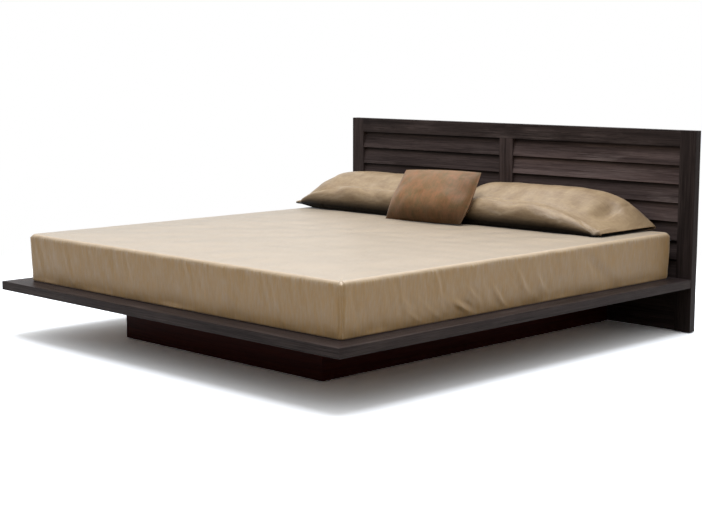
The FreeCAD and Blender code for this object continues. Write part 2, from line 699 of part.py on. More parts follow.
pillow_y = FACE_Y - PILLOW_HEAD_GAP - PILLOW_DEPTH / 2
pillow_z = MATTRESS_TOP + SOFT_CLEARANCE
left_pillow_x = PILLOW_LENGTH / 2 - MATTRESS_WIDTH / 2 - PILLOW_OVERHANG
right_pillow_x = left_pillow_x + PILLOW_LENGTH + PILLOW_SPACING
left_pillow_place = Vector(left_pillow_x, pillow_y, pillow_z)
right_pillow_place = Vector(right_pillow_x, pillow_y, pillow_z)
pillow_on_left = mirrored(pillow(LEFT_OPEN_END_FULLNESS)).translated(left_pillow_place)
pillow_on_right = pillow(RIGHT_OPEN_END_FULLNESS).translated(right_pillow_place)
parts["pillow_right"] = pillow_on_right
parts["pillow_left"] = pillow_on_left


# Cushion: two arcs at each station, drawn in between its corners, then leaned back on the pillows

CUSHION_STATIONS = 13
CUSHION_FULLNESS = 2.2
CUSHION_WAIST_SHARE = 0.07
SEATING_STEPS = 30


def cushion_section(x, height, thickness):
    """Front arc and back arc that meet at the seam, above and below."""
    foot = Vector(x, 0, -height / 2)
    head = Vector(x, 0, height / 2)
    front = Part.Arc(foot, Vector(x, -thickness / 2, 0), head).toShape()
    back = Part.Arc(head, Vector(x, thickness / 2, 0), foot).toShape()
    return Part.Wire([front, back])


def seated(piece, direction, neighbours, clearance):
    """Move a piece along a direction until its nearest neighbour is one clearance away."""
    carrier = Part.makeCompound(neighbours)
    for step in range(SEATING_STEPS):
        gap = piece.distToShape(carrier)[0]
        piece = piece.translated(direction * (gap - clearance))
        if gap - clearance < SAME_PLACE:
            break
    return piece


def cushion():
    """Cushion that stands on the mattress and leans back on both pillows."""
    sections = []
    for number in range(CUSHION_STATIONS):
        station = -math.cos(math.pi * number / (CUSHION_STATIONS - 1))
        swell = math.sqrt(max(1 - abs(station) ** CUSHION_FULLNESS, 0))
        thickness = CUSHION_SEAM + (CUSHION_THICKNESS - CUSHION_SEAM) * swell
        height = CUSHION_HEIGHT * (1 - CUSHION_WAIST_SHARE * (1 - station ** 2))
        sections.append(cushion_section(station * CUSHION_WIDTH / 2, height, thickness))
    body = Part.makeLoft(sections, True, True)
    body.rotate(Vector(0, 0, 0), Vector(1, 0, 0), -CUSHION_LEAN)
    start_y = pillow_y - PILLOW_DEPTH / 2 - CUSHION_HEIGHT
    body.translate(Vector(CUSHION_OFFSET, start_y, MATTRESS_TOP + CUSHION_HEIGHT))
    on_mattress = seated(body, Vector(0, 0, -1), [parts["mattress"]], SOFT_CLEARANCE)
    return seated(on_mattress, Vector(0, 1, 0), [pillow_on_left, pillow_on_right], SOFT_CLEARANCE)


parts["cushion"] = cushion()


os.makedirs("parts", exist_ok=True)
for name, shape in parts.items():
    shape.exportStep("parts/" + name + ".step")
print("wrote %d parts" % len(parts))
print("louvre pitch %.2f mm, gap between slats %.2f mm" % (LOUVER_PITCH, SLAT_GAP))
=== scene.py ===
# %% [markdown]
# # A platform bed with a louvred headboard
#
# The wooden parts of this bed come from a solid model, which stays exactly as it is: Blender only gives
# those parts their finishes. The soft parts, a mattress in its fitted cover, two pillows and a cushion,
# are plain solids in that model, so this script makes each of them again as cloth.
#
# Everything is in metres, in the model's own frame: X runs across the bed, Y from the foot to the head,
# and Z up from the floor.

import math

import bpy
import numpy as np
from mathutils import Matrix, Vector


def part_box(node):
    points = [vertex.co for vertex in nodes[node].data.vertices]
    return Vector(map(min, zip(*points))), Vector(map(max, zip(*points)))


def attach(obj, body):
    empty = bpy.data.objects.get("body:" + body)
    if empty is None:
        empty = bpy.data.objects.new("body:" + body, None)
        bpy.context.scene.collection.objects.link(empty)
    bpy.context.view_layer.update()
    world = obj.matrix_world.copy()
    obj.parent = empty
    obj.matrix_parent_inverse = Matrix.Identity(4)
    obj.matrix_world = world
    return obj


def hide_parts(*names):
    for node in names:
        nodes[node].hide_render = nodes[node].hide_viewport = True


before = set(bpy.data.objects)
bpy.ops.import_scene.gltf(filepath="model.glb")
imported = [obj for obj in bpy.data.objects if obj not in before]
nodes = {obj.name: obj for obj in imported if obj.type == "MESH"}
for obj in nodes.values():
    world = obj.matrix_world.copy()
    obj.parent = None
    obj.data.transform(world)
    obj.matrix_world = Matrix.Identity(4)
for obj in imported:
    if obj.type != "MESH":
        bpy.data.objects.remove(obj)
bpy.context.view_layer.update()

# %% [markdown]
# ## Tools that make meshes
#
# A surface here is a grid of points: rows one way and columns the other. Its points are worked out as
# whole arrays with numpy, and its faces are the squares between neighbouring rows and columns. A grid
# whose last column meets the first makes a tube. The tools below turn such arrays into a mesh and give
# it a UV map measured in metres, so that a weave has the same scale on every piece.


# %% Grids and meshes
def grid_faces(rows, columns, closed):
    """Squares between neighbouring rows and columns; with closed, the last column joins the first."""
    last_column = columns if closed else columns - 1
    row, column = np.meshgrid(np.arange(rows - 1), np.arange(last_column), indexing="ij")
    following = (column + 1) % columns
    corners = (row * columns + column, row * columns + following)
    above = (corners[1] + columns, corners[0] + columns)
    return np.stack(corners + above, axis=-1).reshape(-1, 4)


def grid_uv(u, v):
    """UV pairs for the corners of grid_faces from arrays of u and v, with one more column if it is closed."""
    places = np.stack(np.broadcast_arrays(u, v), axis=-1)
    corners = (places[:-1, :-1], places[:-1, 1:], places[1:, 1:], places[1:, :-1])
    return np.stack(corners, axis=2).reshape(-1, 2)


def new_piece(name, points, faces, material, uv=None):
    """Object at the origin from an array of points and lists of faces, smooth shaded."""
    mesh = bpy.data.meshes.new(name)
    mesh.from_pydata(np.asarray(points).tolist(), [], [list(map(int, face)) for face in faces])
    mesh.shade_smooth()
    if uv is not None:
        full = np.zeros((len(mesh.loops), 2), np.float32)
        full[: len(uv)] = uv
        mesh.uv_layers.new(name="weave").data.foreach_set("uv", full.ravel())
    mesh.materials.append(material)
    piece = bpy.data.objects.new(name, mesh)
    bpy.context.scene.collection.objects.link(piece)
    print(name, len(mesh.vertices), "vertices,", len(mesh.polygons), "faces")
    return piece


def coordinates(piece):
    """A mesh's points as an array of rows."""
    values = np.zeros(len(piece.data.vertices) * 3, np.float32)
    piece.data.vertices.foreach_get("co", values)
    return values.reshape(-1, 3).astype(float)


print("a tube of 3 rows and 4 columns has", len(grid_faces(3, 4, True)), "faces")

# %% [markdown]
# ## Tools that shape a surface
#
# Cloth is never quite flat. A bell curve makes a ridge or a valley, a smooth step fades one form into
# another, and a sum of sine waves makes a surface uneven. The waves come from a fixed seed, so the bed
# is the same each time. A mark keeps a number at each point of a mesh, which its material can read.


# %% Shaping tools
def mark(piece, name, values):
    """Keep one number for each point of a mesh, for its material to read."""
    layer = piece.data.attributes.new(name, "FLOAT", "POINT")
    layer.data.foreach_set("value", np.asarray(values, np.float32).ravel())


def hill(values, middle, width):
    """Bell curve: e to the power of minus the squared distance in widths."""
    return np.exp(-((values - middle) / width) ** 2)


def smooth_step(values, low, high):
    """0 below low, 1 above high, and between them 3 t squared minus 2 t cubed."""
    t = np.clip((values - low) / (high - low), 0, 1)
    return t * t * (3 - 2 * t)


def ripples(a, b, shortest, longest, count, seed):
    """Sum of sine waves over a plane, about -1 to 1, with directions, lengths and phases from a seed."""
    random = np.random.default_rng(seed)
    total = np.zeros(np.broadcast(a, b).shape)
    for _ in range(count):
        direction = random.uniform(0, 2 * np.pi)
        length = random.uniform(shortest, longest)
        phase = random.uniform(0, 2 * np.pi)
        across = a * np.cos(direction) + b * np.sin(direction)
        total = total + np.sin(2 * np.pi * across / length + phase)
    return total / math.sqrt(count)


print("a smooth step a quarter of the way:", smooth_step(0.25, 0, 1))

# %% [markdown]
# ## Colours as they are seen
#
# A colour picked by eye is in sRGB, which is what a screen shows. Blender's shaders work with linear
# light, so every colour here is written as sRGB from 0 to 255 and converted once.


# %% Colour conversion
def srgb(red, green, blue):
    """Linear colour with alpha from sRGB 0 to 255: each share, after an offset, to the power of 2.4."""
    def linear(value):
        share = value / 255
        return share / 12.92 if share <= 0.04045 else ((share + 0.055) / 1.055) ** 2.4
    return (linear(red), linear(green), linear(blue), 1.0)


print("half-bright grey as linear light: %.3f" % srgb(127.5, 127.5, 127.5)[0])

# %% [markdown]
# ## Short names for shader nodes
#
# A shader is a network of nodes. The tools below each add one node, link or set its inputs and return
# its output, so that a chain of nodes reads like a sum.


# %% Node tools
def feed(tree, value, socket):
    """Set a socket from a number or a tuple, or link it from another socket."""
    if isinstance(value, bpy.types.NodeSocket):
        tree.links.new(value, socket)
    else:
        socket.default_value = value


def scaled(tree, vector, factors):
    """A vector or a colour times three factors, or times one value that a socket gives."""
    multiply = tree.nodes.new("ShaderNodeVectorMath")
    multiply.operation = "MULTIPLY"
    tree.links.new(vector, multiply.inputs[0])
    feed(tree, factors, multiply.inputs[1])
    return multiply.outputs[0]


def measured(tree, operation, *vectors):
    """The one number that LENGTH finds in a vector, or DOT_PRODUCT in two."""
    node = tree.nodes.new("ShaderNodeVectorMath")
    node.operation = operation
    for vector, socket in zip(vectors, node.inputs):
        feed(tree, vector, socket)
    return node.outputs["Value"]


def noise(tree, vector, detail=2.0, roughness=0.5, distortion=0.0):
    """Noise with one lump to a unit, about 0.3 to 0.7."""
    texture = tree.nodes.new("ShaderNodeTexNoise")
    texture.inputs["Scale"].default_value = 1.0
    texture.inputs["Detail"].default_value = detail
    texture.inputs["Roughness"].default_value = roughness
    texture.inputs["Distortion"].default_value = distortion
    tree.links.new(vector, texture.inputs["Vector"])
    return texture.outputs[0]


def ranged(tree, value, low, high, to_low=0.0, to_high=1.0):
    """A value moved from one range to another, and kept inside it."""
    node = tree.nodes.new("ShaderNodeMapRange")
    feed(tree, value, node.inputs["Value"])
    node.inputs["From Min"].default_value = low
    node.inputs["From Max"].default_value = high
    feed(tree, to_low, node.inputs["To Min"])
    feed(tree, to_high, node.inputs["To Max"])
    return node.outputs[0]


def worked(tree, operation, first, second):
    """One arithmetic step on two values."""
    node = tree.nodes.new("ShaderNodeMath")
    node.operation = operation
    feed(tree, first, node.inputs[0])
    feed(tree, second, node.inputs[1])
    return node.outputs[0]


def mixed(tree, share, first, second):
    """Two colours mixed by a share."""
    node = tree.nodes.new("ShaderNodeMix")
    node.data_type = "RGBA"
    feed(tree, share, node.inputs[0])
    feed(tree, first, node.inputs[6])
    feed(tree, second, node.inputs[7])
    return node.outputs[2]


# %% [markdown]
# ## The floor
#
# The bed stands on plain white. A floor with nothing but white on it would show a horizon, so this one
# fades into pure white away from the bed and keeps only the shadow near it. It could be a plain diffuse
# plane, but a white plane throws much light up at the bed's sides, which the photograph doesn't show.
# So the floor is white to the camera and dim to the rays that light the bed.

# %% Floor
FLOOR_SIZE = 40.0
FADE_START = 2.1
FADE_END = 3.4
FLOOR_FOR_LIGHT = (0.205, 0.178, 0.132, 1)
FLOOR_FOR_CAMERA = (1.62, 1.64, 1.66, 1)


def seen_directly(tree):
    """1 for rays from the camera or sent on by a shiny or clear surface, 0 for rays that light the bed."""
    path = tree.nodes.new("ShaderNodeLightPath")
    sent_on = worked(tree, "MAXIMUM", path.outputs["Is Glossy Ray"], path.outputs["Is Transmission Ray"])
    return worked(tree, "MAXIMUM", path.outputs["Is Camera Ray"], sent_on)


def floor_material():
    """White floor that keeps shadows near the bed and fades to plain white away from it."""
    material = bpy.data.materials.new("white_floor")
    material.use_nodes = True
    tree = material.node_tree
    tree.nodes.clear()
    output = tree.nodes.new("ShaderNodeOutputMaterial")
    seen = seen_directly(tree)
    diffuse = tree.nodes.new("ShaderNodeBsdfDiffuse")
    tree.links.new(mixed(tree, seen, FLOOR_FOR_LIGHT, FLOOR_FOR_CAMERA), diffuse.inputs["Color"])
    place = tree.nodes.new("ShaderNodeTexCoord").outputs["Object"]
    fade = ranged(tree, measured(tree, "LENGTH", place), FADE_START, FADE_END)
    fade.node.interpolation_type = "SMOOTHSTEP"
    white = tree.nodes.new("ShaderNodeEmission")
    mix = tree.nodes.new("ShaderNodeMixShader")
    tree.links.new(worked(tree, "MULTIPLY", fade, seen), mix.inputs[0])
    tree.links.new(diffuse.outputs[0], mix.inputs[1])
    tree.links.new(white.outputs[0], mix.inputs[2])
    tree.links.new(mix.outputs[0], output.inputs["Surface"])
    return material


corner = FLOOR_SIZE / 2
floor_points = [(-corner, -corner, 0), (corner, -corner, 0), (corner, corner, 0), (-corner, corner, 0)]
floor = new_piece("studio_floor", floor_points, [(0, 1, 2, 3)], floor_material())

# %% [markdown]
# ## The room
#
# The room is a background with no walls. It is dim at the horizon and brighter overhead, so the bed's
# top is bright and its sides are darker. Behind the bed it is brighter too, which the satin reflects to
# the camera at a low angle. To the camera itself the whole room is white.

# %% Room light
LIGHT_AT_HORIZON = 0.045
LIGHT_AT_ZENITH = 0.95
BACKDROP_LIGHT = 0.65
BACKDROP_SIDE = (-0.70, 0.70, 0.0)
BACKDROP_START = 0.2
BACKDROP_FULL = 0.9

world = bpy.data.worlds.new("white_room")
bpy.context.scene.world = world
world.use_nodes = True
room = world.node_tree
sky = room.nodes.new("ShaderNodeTexCoord").outputs["Generated"]

# The dot product with a direction says how far a ray points that way, from -1 to 1.
upwards = measured(room, "DOT_PRODUCT", sky, (0, 0, 1))
sideways = measured(room, "DOT_PRODUCT", sky, BACKDROP_SIDE)
ceiling = ranged(room, upwards, 0.0, 1.0, LIGHT_AT_HORIZON, LIGHT_AT_ZENITH)
backdrop = ranged(room, sideways, BACKDROP_START, BACKDROP_FULL, 0.0, BACKDROP_LIGHT)
room_light = worked(room, "ADD", ceiling, backdrop)
room_strength = ranged(room, seen_directly(room), 0.0, 1.0, room_light, 1.0)
room.nodes["Background"].inputs["Color"].default_value = (1, 1, 1, 1)
room.links.new(room_strength, room.nodes["Background"].inputs["Strength"])
print("room light:", LIGHT_AT_HORIZON, "at the horizon and", LIGHT_AT_ZENITH, "overhead")

# %% [markdown]
# ## The camera and the lamp
#
# The camera's place, turn and lens were found by laying the bed's straight edges over the photograph's.
# Most of the light comes from one broad softbox overhead. A lamp as large as the bed gives the soft
# grey shadow under the overhanging platform, where a small one would draw a hard edge.

# %% Camera
CAMERA_PLACE = (4.3745, -4.3701, 1.1803)
CAMERA_AZIMUTH = 45.035
CAMERA_PITCH = 8.0
CAMERA_ROLL = -0.046
CAMERA_LENS = 73.366
SENSOR_WIDTH = 36.0

lens = bpy.data.cameras.new("photo_camera")
lens.lens = CAMERA_LENS
lens.sensor_width = SENSOR_WIDTH
camera = bpy.data.objects.new("photo_camera", lens)
camera.rotation_mode = "XYZ"
camera.location = CAMERA_PLACE
camera.rotation_euler = [math.radians(angle) for angle in (90 - CAMERA_PITCH, CAMERA_ROLL, CAMERA_AZIMUTH)]
bpy.context.scene.collection.objects.link(camera)
bpy.context.scene.camera = camera
print("camera at", CAMERA_PLACE, "with a lens of", CAMERA_LENS, "mm")

# %% Lamp
SOFTBOX_SIZE = 4.2
SOFTBOX_PLACE = (0.0, 0.2, 4.2)
SOFTBOX_TARGET = (0.0, 0.2, 0.0)
SOFTBOX_POWER = 174.0
SOFTBOX_COLOUR = (0.95, 1.0, 1.09)

lamp = bpy.data.lights.new("overhead_softbox", "AREA")
lamp.shape = "RECTANGLE"
lamp.size = SOFTBOX_SIZE
lamp.size_y = SOFTBOX_SIZE
lamp.energy = SOFTBOX_POWER
lamp.color = SOFTBOX_COLOUR
softbox = bpy.data.objects.new("overhead_softbox", lamp)
softbox.rotation_mode = "QUATERNION"
softbox.rotation_quaternion = Vector(np.subtract(SOFTBOX_TARGET, SOFTBOX_PLACE)).to_track_quat("-Z", "Y")
softbox.location = SOFTBOX_PLACE
bpy.context.scene.collection.objects.link(softbox)
bpy.context.scene.view_settings.view_transform = "Standard"
print("softbox of", SOFTBOX_SIZE, "m and", SOFTBOX_POWER, "W")

# %% [markdown]
# ## A finish that several materials share
#
# Wood grain is the same idea in every timber: long streaks along the board, finer lines inside them,
# and short dark pores. A shader node group holds that idea once, with the colours as inputs, and each
# timber gives it its own. The streaks are ordinary noise that is squeezed across the board and
# stretched along it.


# %% Node group tools
def new_group(name, inputs, outputs):
    """Empty shader group with its sockets, and its two end nodes. Inputs are (name, kind, default)."""
    group = bpy.data.node_groups.new(name, "ShaderNodeTree")
    for socket_name, kind, default in inputs:
        socket = group.interface.new_socket(socket_name, in_out="INPUT", socket_type=kind)
        socket.default_value = default
    for socket_name, kind in outputs:
        group.interface.new_socket(socket_name, in_out="OUTPUT", socket_type=kind)
    print("shader group", name, "with", len(inputs), "inputs")
    return group, group.nodes.new("NodeGroupInput"), group.nodes.new("NodeGroupOutput")


def grouped(tree, group, values):
    """A shader group placed in a material, with its inputs set or linked by name."""
    node = tree.nodes.new("ShaderNodeGroup")
    node.node_tree = group
    for name, value in values.items():
        feed(tree, value, node.inputs[name])
    return node


def relief(tree, height, strength, depth):
    """Normals of a surface with a relief of that depth in metres."""
    node = tree.nodes.new("ShaderNodeBump")
    node.inputs["Strength"].default_value = strength
    node.inputs["Distance"].default_value = depth
    tree.links.new(height, node.inputs["Height"])
    return node.outputs[0]


# %% Wood grain group
# Lumps to a metre along the grain and across it, for each part of the pattern.
BANDS = (1.3, 30, 30)
LINES = (5, 330, 330)
PORES = (16, 750, 750)
SCUFFS = (3, 14, 14)
BAND_SHARE = 0.55
PORE_DARKNESS = 0.55
LINE_RELIEF = 0.5
TIMBER_ROUGHNESS = (0.46, 0.34)
BLACK = (0, 0, 0, 1)


def wood_grain_group():
    """Colour, roughness and height of planed timber: bands and lines of noise choose between a light and a
    dark tone, and pores are dark. The vector is in metres, with X along the grain."""
    inputs = [
        ("Vector", "NodeSocketVector", (0, 0, 0)),
        ("Light", "NodeSocketColor", (0.5, 0.4, 0.3, 1)),
        ("Dark", "NodeSocketColor", (0.2, 0.15, 0.1, 1)),
        ("Worn", "NodeSocketColor", (0.6, 0.5, 0.4, 1)),
        ("Wear And Highlight", "NodeSocketFloat", 0.3),
        ("Pores", "NodeSocketFloat", 0.5),
        ("Painted Darkening", "NodeSocketFloat", 0.0),
    ]
    outputs = [("Color", "NodeSocketColor"), ("Roughness", "NodeSocketFloat"), ("Height", "NodeSocketFloat")]
    group, start, end = new_group("wood_grain", inputs, outputs)
    vector = start.outputs["Vector"]
    bands = noise(group, scaled(group, vector, BANDS), detail=3.0, distortion=0.5)
    lines = noise(group, scaled(group, vector, LINES), detail=3.0, roughness=0.65)
    pores = ranged(group, noise(group, scaled(group, vector, PORES), detail=1.0), 0.55, 0.68)
    scuffs = noise(group, scaled(group, vector, SCUFFS), detail=4.0, roughness=0.6)
    band_part = worked(group, "MULTIPLY", bands, BAND_SHARE)
    tone = worked(group, "ADD", band_part, worked(group, "MULTIPLY", lines, 1 - BAND_SHARE))
    timber = mixed(group, ranged(group, tone, 0.36, 0.64), start.outputs["Dark"], start.outputs["Light"])
    rubbed = worked(group, "MULTIPLY", ranged(group, scuffs, 0.48, 0.72), ranged(group, lines, 0.35, 0.6))
    # On the louvres this wear share also carries a painted highlight.
    wear = worked(group, "MULTIPLY", rubbed, start.outputs["Wear And Highlight"])
    worn = mixed(group, wear, timber, start.outputs["Worn"])
    pore_shade = worked(group, "MULTIPLY", pores, start.outputs["Pores"])
    with_pores = mixed(group, pore_shade, worn, mixed(group, PORE_DARKNESS, worn, BLACK))
    # The last mix darkens towards black by a share that carries painted shade.
    colour = mixed(group, start.outputs["Painted Darkening"], with_pores, BLACK)
    height = worked(group, "SUBTRACT", worked(group, "MULTIPLY", lines, LINE_RELIEF), pore_shade)
    group.links.new(colour, end.inputs["Color"])
    group.links.new(ranged(group, lines, 0.3, 0.7, *TIMBER_ROUGHNESS), end.inputs["Roughness"])
    group.links.new(height, end.inputs["Height"])
    return group


wood_grain = wood_grain_group()

# %% [markdown]
# ## The headboard's timber
#
# The headboard and the platform are stained a dark grey-brown with hardly any gloss. Each board gets a
# material of its own, which takes the grain from its own part of the pattern and runs it along the
# board, because one material for all of them would carry the same streak across every joint.

# %% Wood materials
GRAIN_ALONG = {"x": (0, 0, 0), "y": (0, 0, -math.pi / 2), "z": (0, math.pi / 2, 0)}
GRAIN_DEPTH = 0.0005


def new_material(name):
    """Material with a plain Principled BSDF, and its node tree and shader."""
    material = bpy.data.materials.new(name)
    material.use_nodes = True
    return material, material.node_tree, material.node_tree.nodes["Principled BSDF"]


def wood(name, axis, offset, light, dark, worn, wear, pores, bump, gloss, marks=None):
    """Timber with its grain along an axis. The offset gives each board its own part of the pattern.
    Marks, where given, is a function that feeds the grain's wear and painted highlight, and its painted
    shade, from object coordinates."""
    material, tree, shader = new_material(name)
    place = tree.nodes.new("ShaderNodeTexCoord").outputs["Object"]
    turn = tree.nodes.new("ShaderNodeMapping")
    turn.inputs["Rotation"].default_value = GRAIN_ALONG[axis]
    turn.inputs["Location"].default_value = offset
    tree.links.new(place, turn.inputs["Vector"])
    grain = grouped(tree, wood_grain, {
        "Vector": turn.outputs[0], "Light": light, "Dark": dark, "Worn": worn, "Wear And Highlight": wear, "Pores": pores})
    tree.links.new(grain.outputs["Color"], shader.inputs["Base Color"])
    tree.links.new(grain.outputs["Roughness"], shader.inputs["Roughness"])
    tree.links.new(relief(tree, grain.outputs["Height"], bump, GRAIN_DEPTH), shader.inputs["Normal"])
    shader.inputs["Specular IOR Level"].default_value = gloss
    if marks is not None:
        marks(tree, place, grain)
    return material


def espresso(name, axis, offset, wear=0.35, marks=None, tone=1.0):
    """Dark grey-brown stained timber with a dull finish. Tone makes a board lighter or darker."""
    light = srgb(70 * tone, 60 * tone, 58 * tone)
    dark = srgb(37 * tone, 30 * tone, 29 * tone)
    worn = srgb(112, 100, 97)
    return wood(name, axis, offset, light, dark, worn, wear, pores=0.7, bump=0.35, gloss=0.05, marks=marks)


def give(material, *names):
    """Put one material on CAD nodes, whose meshes stay as they are."""
    for name in names:
        mesh = nodes[name].data
        mesh.materials.clear()
        mesh.materials.append(material)


give(espresso("espresso_top_rail", "x", (0.3, 0, 0), wear=0.5, tone=0.92), "headboard_top_rail")
give(espresso("espresso_middle_rail", "x", (1.7, 0.2, 0)), "headboard_middle_rail")
give(espresso("espresso_left_stile", "z", (0.4, 0, 0)), "headboard_stile_left")
give(espresso("espresso_right_stile", "z", (1.9, 0.5, 0), wear=0.1, tone=0.9), "headboard_stile_right")
give(espresso("espresso_left_center_stile", "z", (2.7, 0, 0.2), tone=1.2), "center_stile_left")
give(espresso("espresso_right_center_stile", "z", (3.3, 0.3, 0), tone=1.2), "center_stile_right")
give(espresso("espresso_lower_panel", "x", (5.1, 0, 0.4)), "headboard_lower_panel")
print("materials so far:", len(bpy.data.materials))

# %% [markdown]
# ## The louvres
#
# A louvre's lower edge is pale, partly from wear and partly as a painted highlight, and hands and dust
# rub its face pale, most on the upper right ones, while painted shade darkens the corner where a louvre
# goes behind the one above it. All follow the louvre's own height, so they are worked out from its lower
# edge and need no image texture.


# %% Louvre materials
# Pale lower edge, partly wear and partly a painted highlight: its height and share.
PALE_EDGE_BAND = 0.020
EDGE_WEAR_AND_HIGHLIGHT = (0.15, 0.7)
RUBBED_ACROSS = (0.15, 0.85)
RUBBED_HEIGHT_SHARES = (0.75, 0.4)
# Painted shade in the corner under the next louvre: its height and darkness.
SHADED_CORNER = 0.015
CORNER_PAINTED_SHADE = 0.95
RUBBED_ROWS = {3: 0.4, 4: 0.7, 5: 0.7, 6: 1.6, 7: 1.6}
ROW_TONES = {4: 1.45, 5: 1.25, 6: 1.55, 7: 1.4}
LEFT_TONE = 1.12
BOARD_STEP = (1.37, 0.61)

louver_rows = sum(name.startswith("louver_left_") for name in nodes)
louver_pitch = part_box("louver_left_2")[0].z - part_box("louver_left_1")[0].z


def louver_marks(lower_edge, rubbed):
    """Wear and a painted highlight at a louvre's lower edge, wear growing to the right on its face, and
    painted shade under the next one.
    """
    def marks(tree, place, grain):
        parts = tree.nodes.new("ShaderNodeSeparateXYZ")
        tree.links.new(place, parts.inputs[0])
        height = parts.outputs["Z"]
        # Wear and a painted highlight along the lower edge.
        edge_wear_and_highlight = ranged(tree, height, lower_edge + PALE_EDGE_BAND, lower_edge, *EDGE_WEAR_AND_HIGHLIGHT)
        face_wear = ranged(tree, parts.outputs["X"], *RUBBED_ACROSS, 0.1 * rubbed, rubbed)
        fading = [lower_edge + share * louver_pitch for share in RUBBED_HEIGHT_SHARES]
        rubbed_face = worked(tree, "MULTIPLY", face_wear, ranged(tree, height, *fading))
        tree.links.new(worked(tree, "ADD", edge_wear_and_highlight, rubbed_face), grain.inputs["Wear And Highlight"])
        # Painted shade where the louvre goes behind the one above it.
        corner = lower_edge + louver_pitch
        corner_shade = ranged(tree, height, corner - SHADED_CORNER, corner, 0.0, CORNER_PAINTED_SHADE)
        tree.links.new(corner_shade, grain.inputs["Painted Darkening"])
    return marks


for side, start in (("left", 0.0), ("right", 4.0)):
    for row in range(1, louver_rows + 1):
        louver = "louver_%s_%d" % (side, row)
        rubbed = RUBBED_ROWS.get(row, 0.1) if side == "right" else 0.1
        tone = ROW_TONES.get(row, 1.1) if side == "right" else LEFT_TONE
        marks = louver_marks(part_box(louver)[0].z, rubbed)
        board_place = (start + row * BOARD_STEP[0], 0, row * BOARD_STEP[1])
        give(espresso("espresso_" + louver, "x", board_place, marks=marks, tone=tone), louver)
print("louvres:", louver_rows, "rows,", round(louver_pitch * 1000, 3), "mm apart")

# %% [markdown]
# ## The platform and what carries it
#
# The platform's boards match the headboard. The plinth is set back under them in a very dark red-brown,
# and the slats, cleats and joists that the mattress hides are bare softwood. All three are the same
# grain with other colours, so each is one short function.

# %% Platform boards
SLAT_STEP = 1.71

give(espresso("espresso_foot_board", "x", (6.2, 0, 0)), "platform_foot_board")
give(espresso("espresso_head_board", "x", (7.4, 0, 0)), "platform_head_board")
give(espresso("espresso_left_side_board", "y", (0.9, 0, 0)), "platform_side_board_left")
give(espresso("espresso_right_side_board", "y", (3.8, 0.4, 0)), "platform_side_board_right")


def mahogany(name, axis, offset):
    """Very dark red-brown timber."""
    light, dark, worn = srgb(62, 20, 10), srgb(38, 9, 5), srgb(78, 32, 20)
    return wood(name, axis, offset, light, dark, worn, wear=0.25, pores=0.4, bump=0.2, gloss=0.03)


give(mahogany("mahogany_front", "x", (0.2, 0, 0)), "plinth_front")
give(mahogany("mahogany_back", "x", (1.2, 0, 0)), "plinth_back")
give(mahogany("mahogany_left", "y", (2.2, 0, 0)), "plinth_side_left")
give(mahogany("mahogany_right", "y", (3.2, 0, 0)), "plinth_side_right")
give(mahogany("mahogany_divider", "y", (4.2, 0, 0)), "plinth_divider")


def pine(name, axis, offset):
    """Pale planed softwood, without a coat."""
    light, dark, worn = srgb(214, 182, 138), srgb(186, 146, 100), srgb(196, 170, 132)
    return wood(name, axis, offset, light, dark, worn, wear=0.2, pores=0.15, bump=0.25, gloss=0.3)


slats = sorted(name for name in nodes if name.startswith("deck_slat_"))
for number, slat in enumerate(slats, 1):
    give(pine("pine_slat_%02d" % number, "x", (number * SLAT_STEP, 0, 0)), slat)
give(pine("pine_side_parts", "y", (0.6, 0, 0)), "side_cleat_left", "side_cleat_right", "joist_left")
give(pine("pine_joists", "y", (2.6, 0, 0)), "joist_center", "joist_right")
give(pine("pine_blocks", "z", (3.6, 0, 0)), "plinth_corner_blocks", "mitre_splines", "center_stile_dowels")
print("materials so far:", len(bpy.data.materials))

# %% [markdown]
# ## Metal and plastic
#
# Bolts, nuts and screws are zinc plated, and the glides under the legs and the plinth are black plastic.
# Both are plain materials, but fine scratches in tone and roughness keep them from looking computed.

# %% Metal and plastic
SCRATCHES = (900, 900, 120)


def fitting(name, colour, metallic, roughness):
    """Plain hard finish with fine scratches that break up its gloss."""
    material, tree, shader = new_material(name)
    place = tree.nodes.new("ShaderNodeTexCoord").outputs["Object"]
    scratches = noise(tree, scaled(tree, place, SCRATCHES))
    shade = mixed(tree, ranged(tree, scratches, 0.35, 0.65, 0.0, 0.25), colour, BLACK)
    tree.links.new(shade, shader.inputs["Base Color"])
    tree.links.new(ranged(tree, scratches, 0.3, 0.7, roughness, roughness + 0.15), shader.inputs["Roughness"])
    shader.inputs["Metallic"].default_value = metallic
    return material


zinc_steel = fitting("zinc_steel", srgb(172, 174, 176), metallic=1.0, roughness=0.3)
glide_plastic = fitting("glide_plastic", srgb(46, 44, 42), metallic=0.0, roughness=0.5)
give(zinc_steel, "bed_bolts", "barrel_nuts", "joist_screws")
give(glide_plastic, "leg_glides", "plinth_glides")
print("CAD pieces without a finish:", [name for name in nodes if not nodes[name].data.materials])

# %% [markdown]
# ## Satin
#
# The cover, the pillow cases and the cushion are satin: threads far too fine to see, thicker threads
# called slubs, a soft broad gloss and a faint sheen at glancing angles. The weave is a tiny relief on
# the UV map, which is in metres, and slow changes of tone keep the cloth from looking like paint. Where
# a piece turns under itself its cloth gets painted shade. There it takes a dark colour and loses its
# glaze, along a line that noise makes ragged, and small upright ruckles give it relief. The mattress
# cover's sides and underside get painted shade too, which makes them darker and yellower than its top
# and takes away most of their glaze.

# %% Satin group
# Lumps to a metre across the piece and along it, for each part of the weave.
THREADS = (1100, 240, 1)
SLUBS = (340, 12, 1)
RUCKLES = (95, 20, 1)
RUCKLE_RELIEF = 6.0
SATIN_ROUGHNESS = (0.38, 0.46)


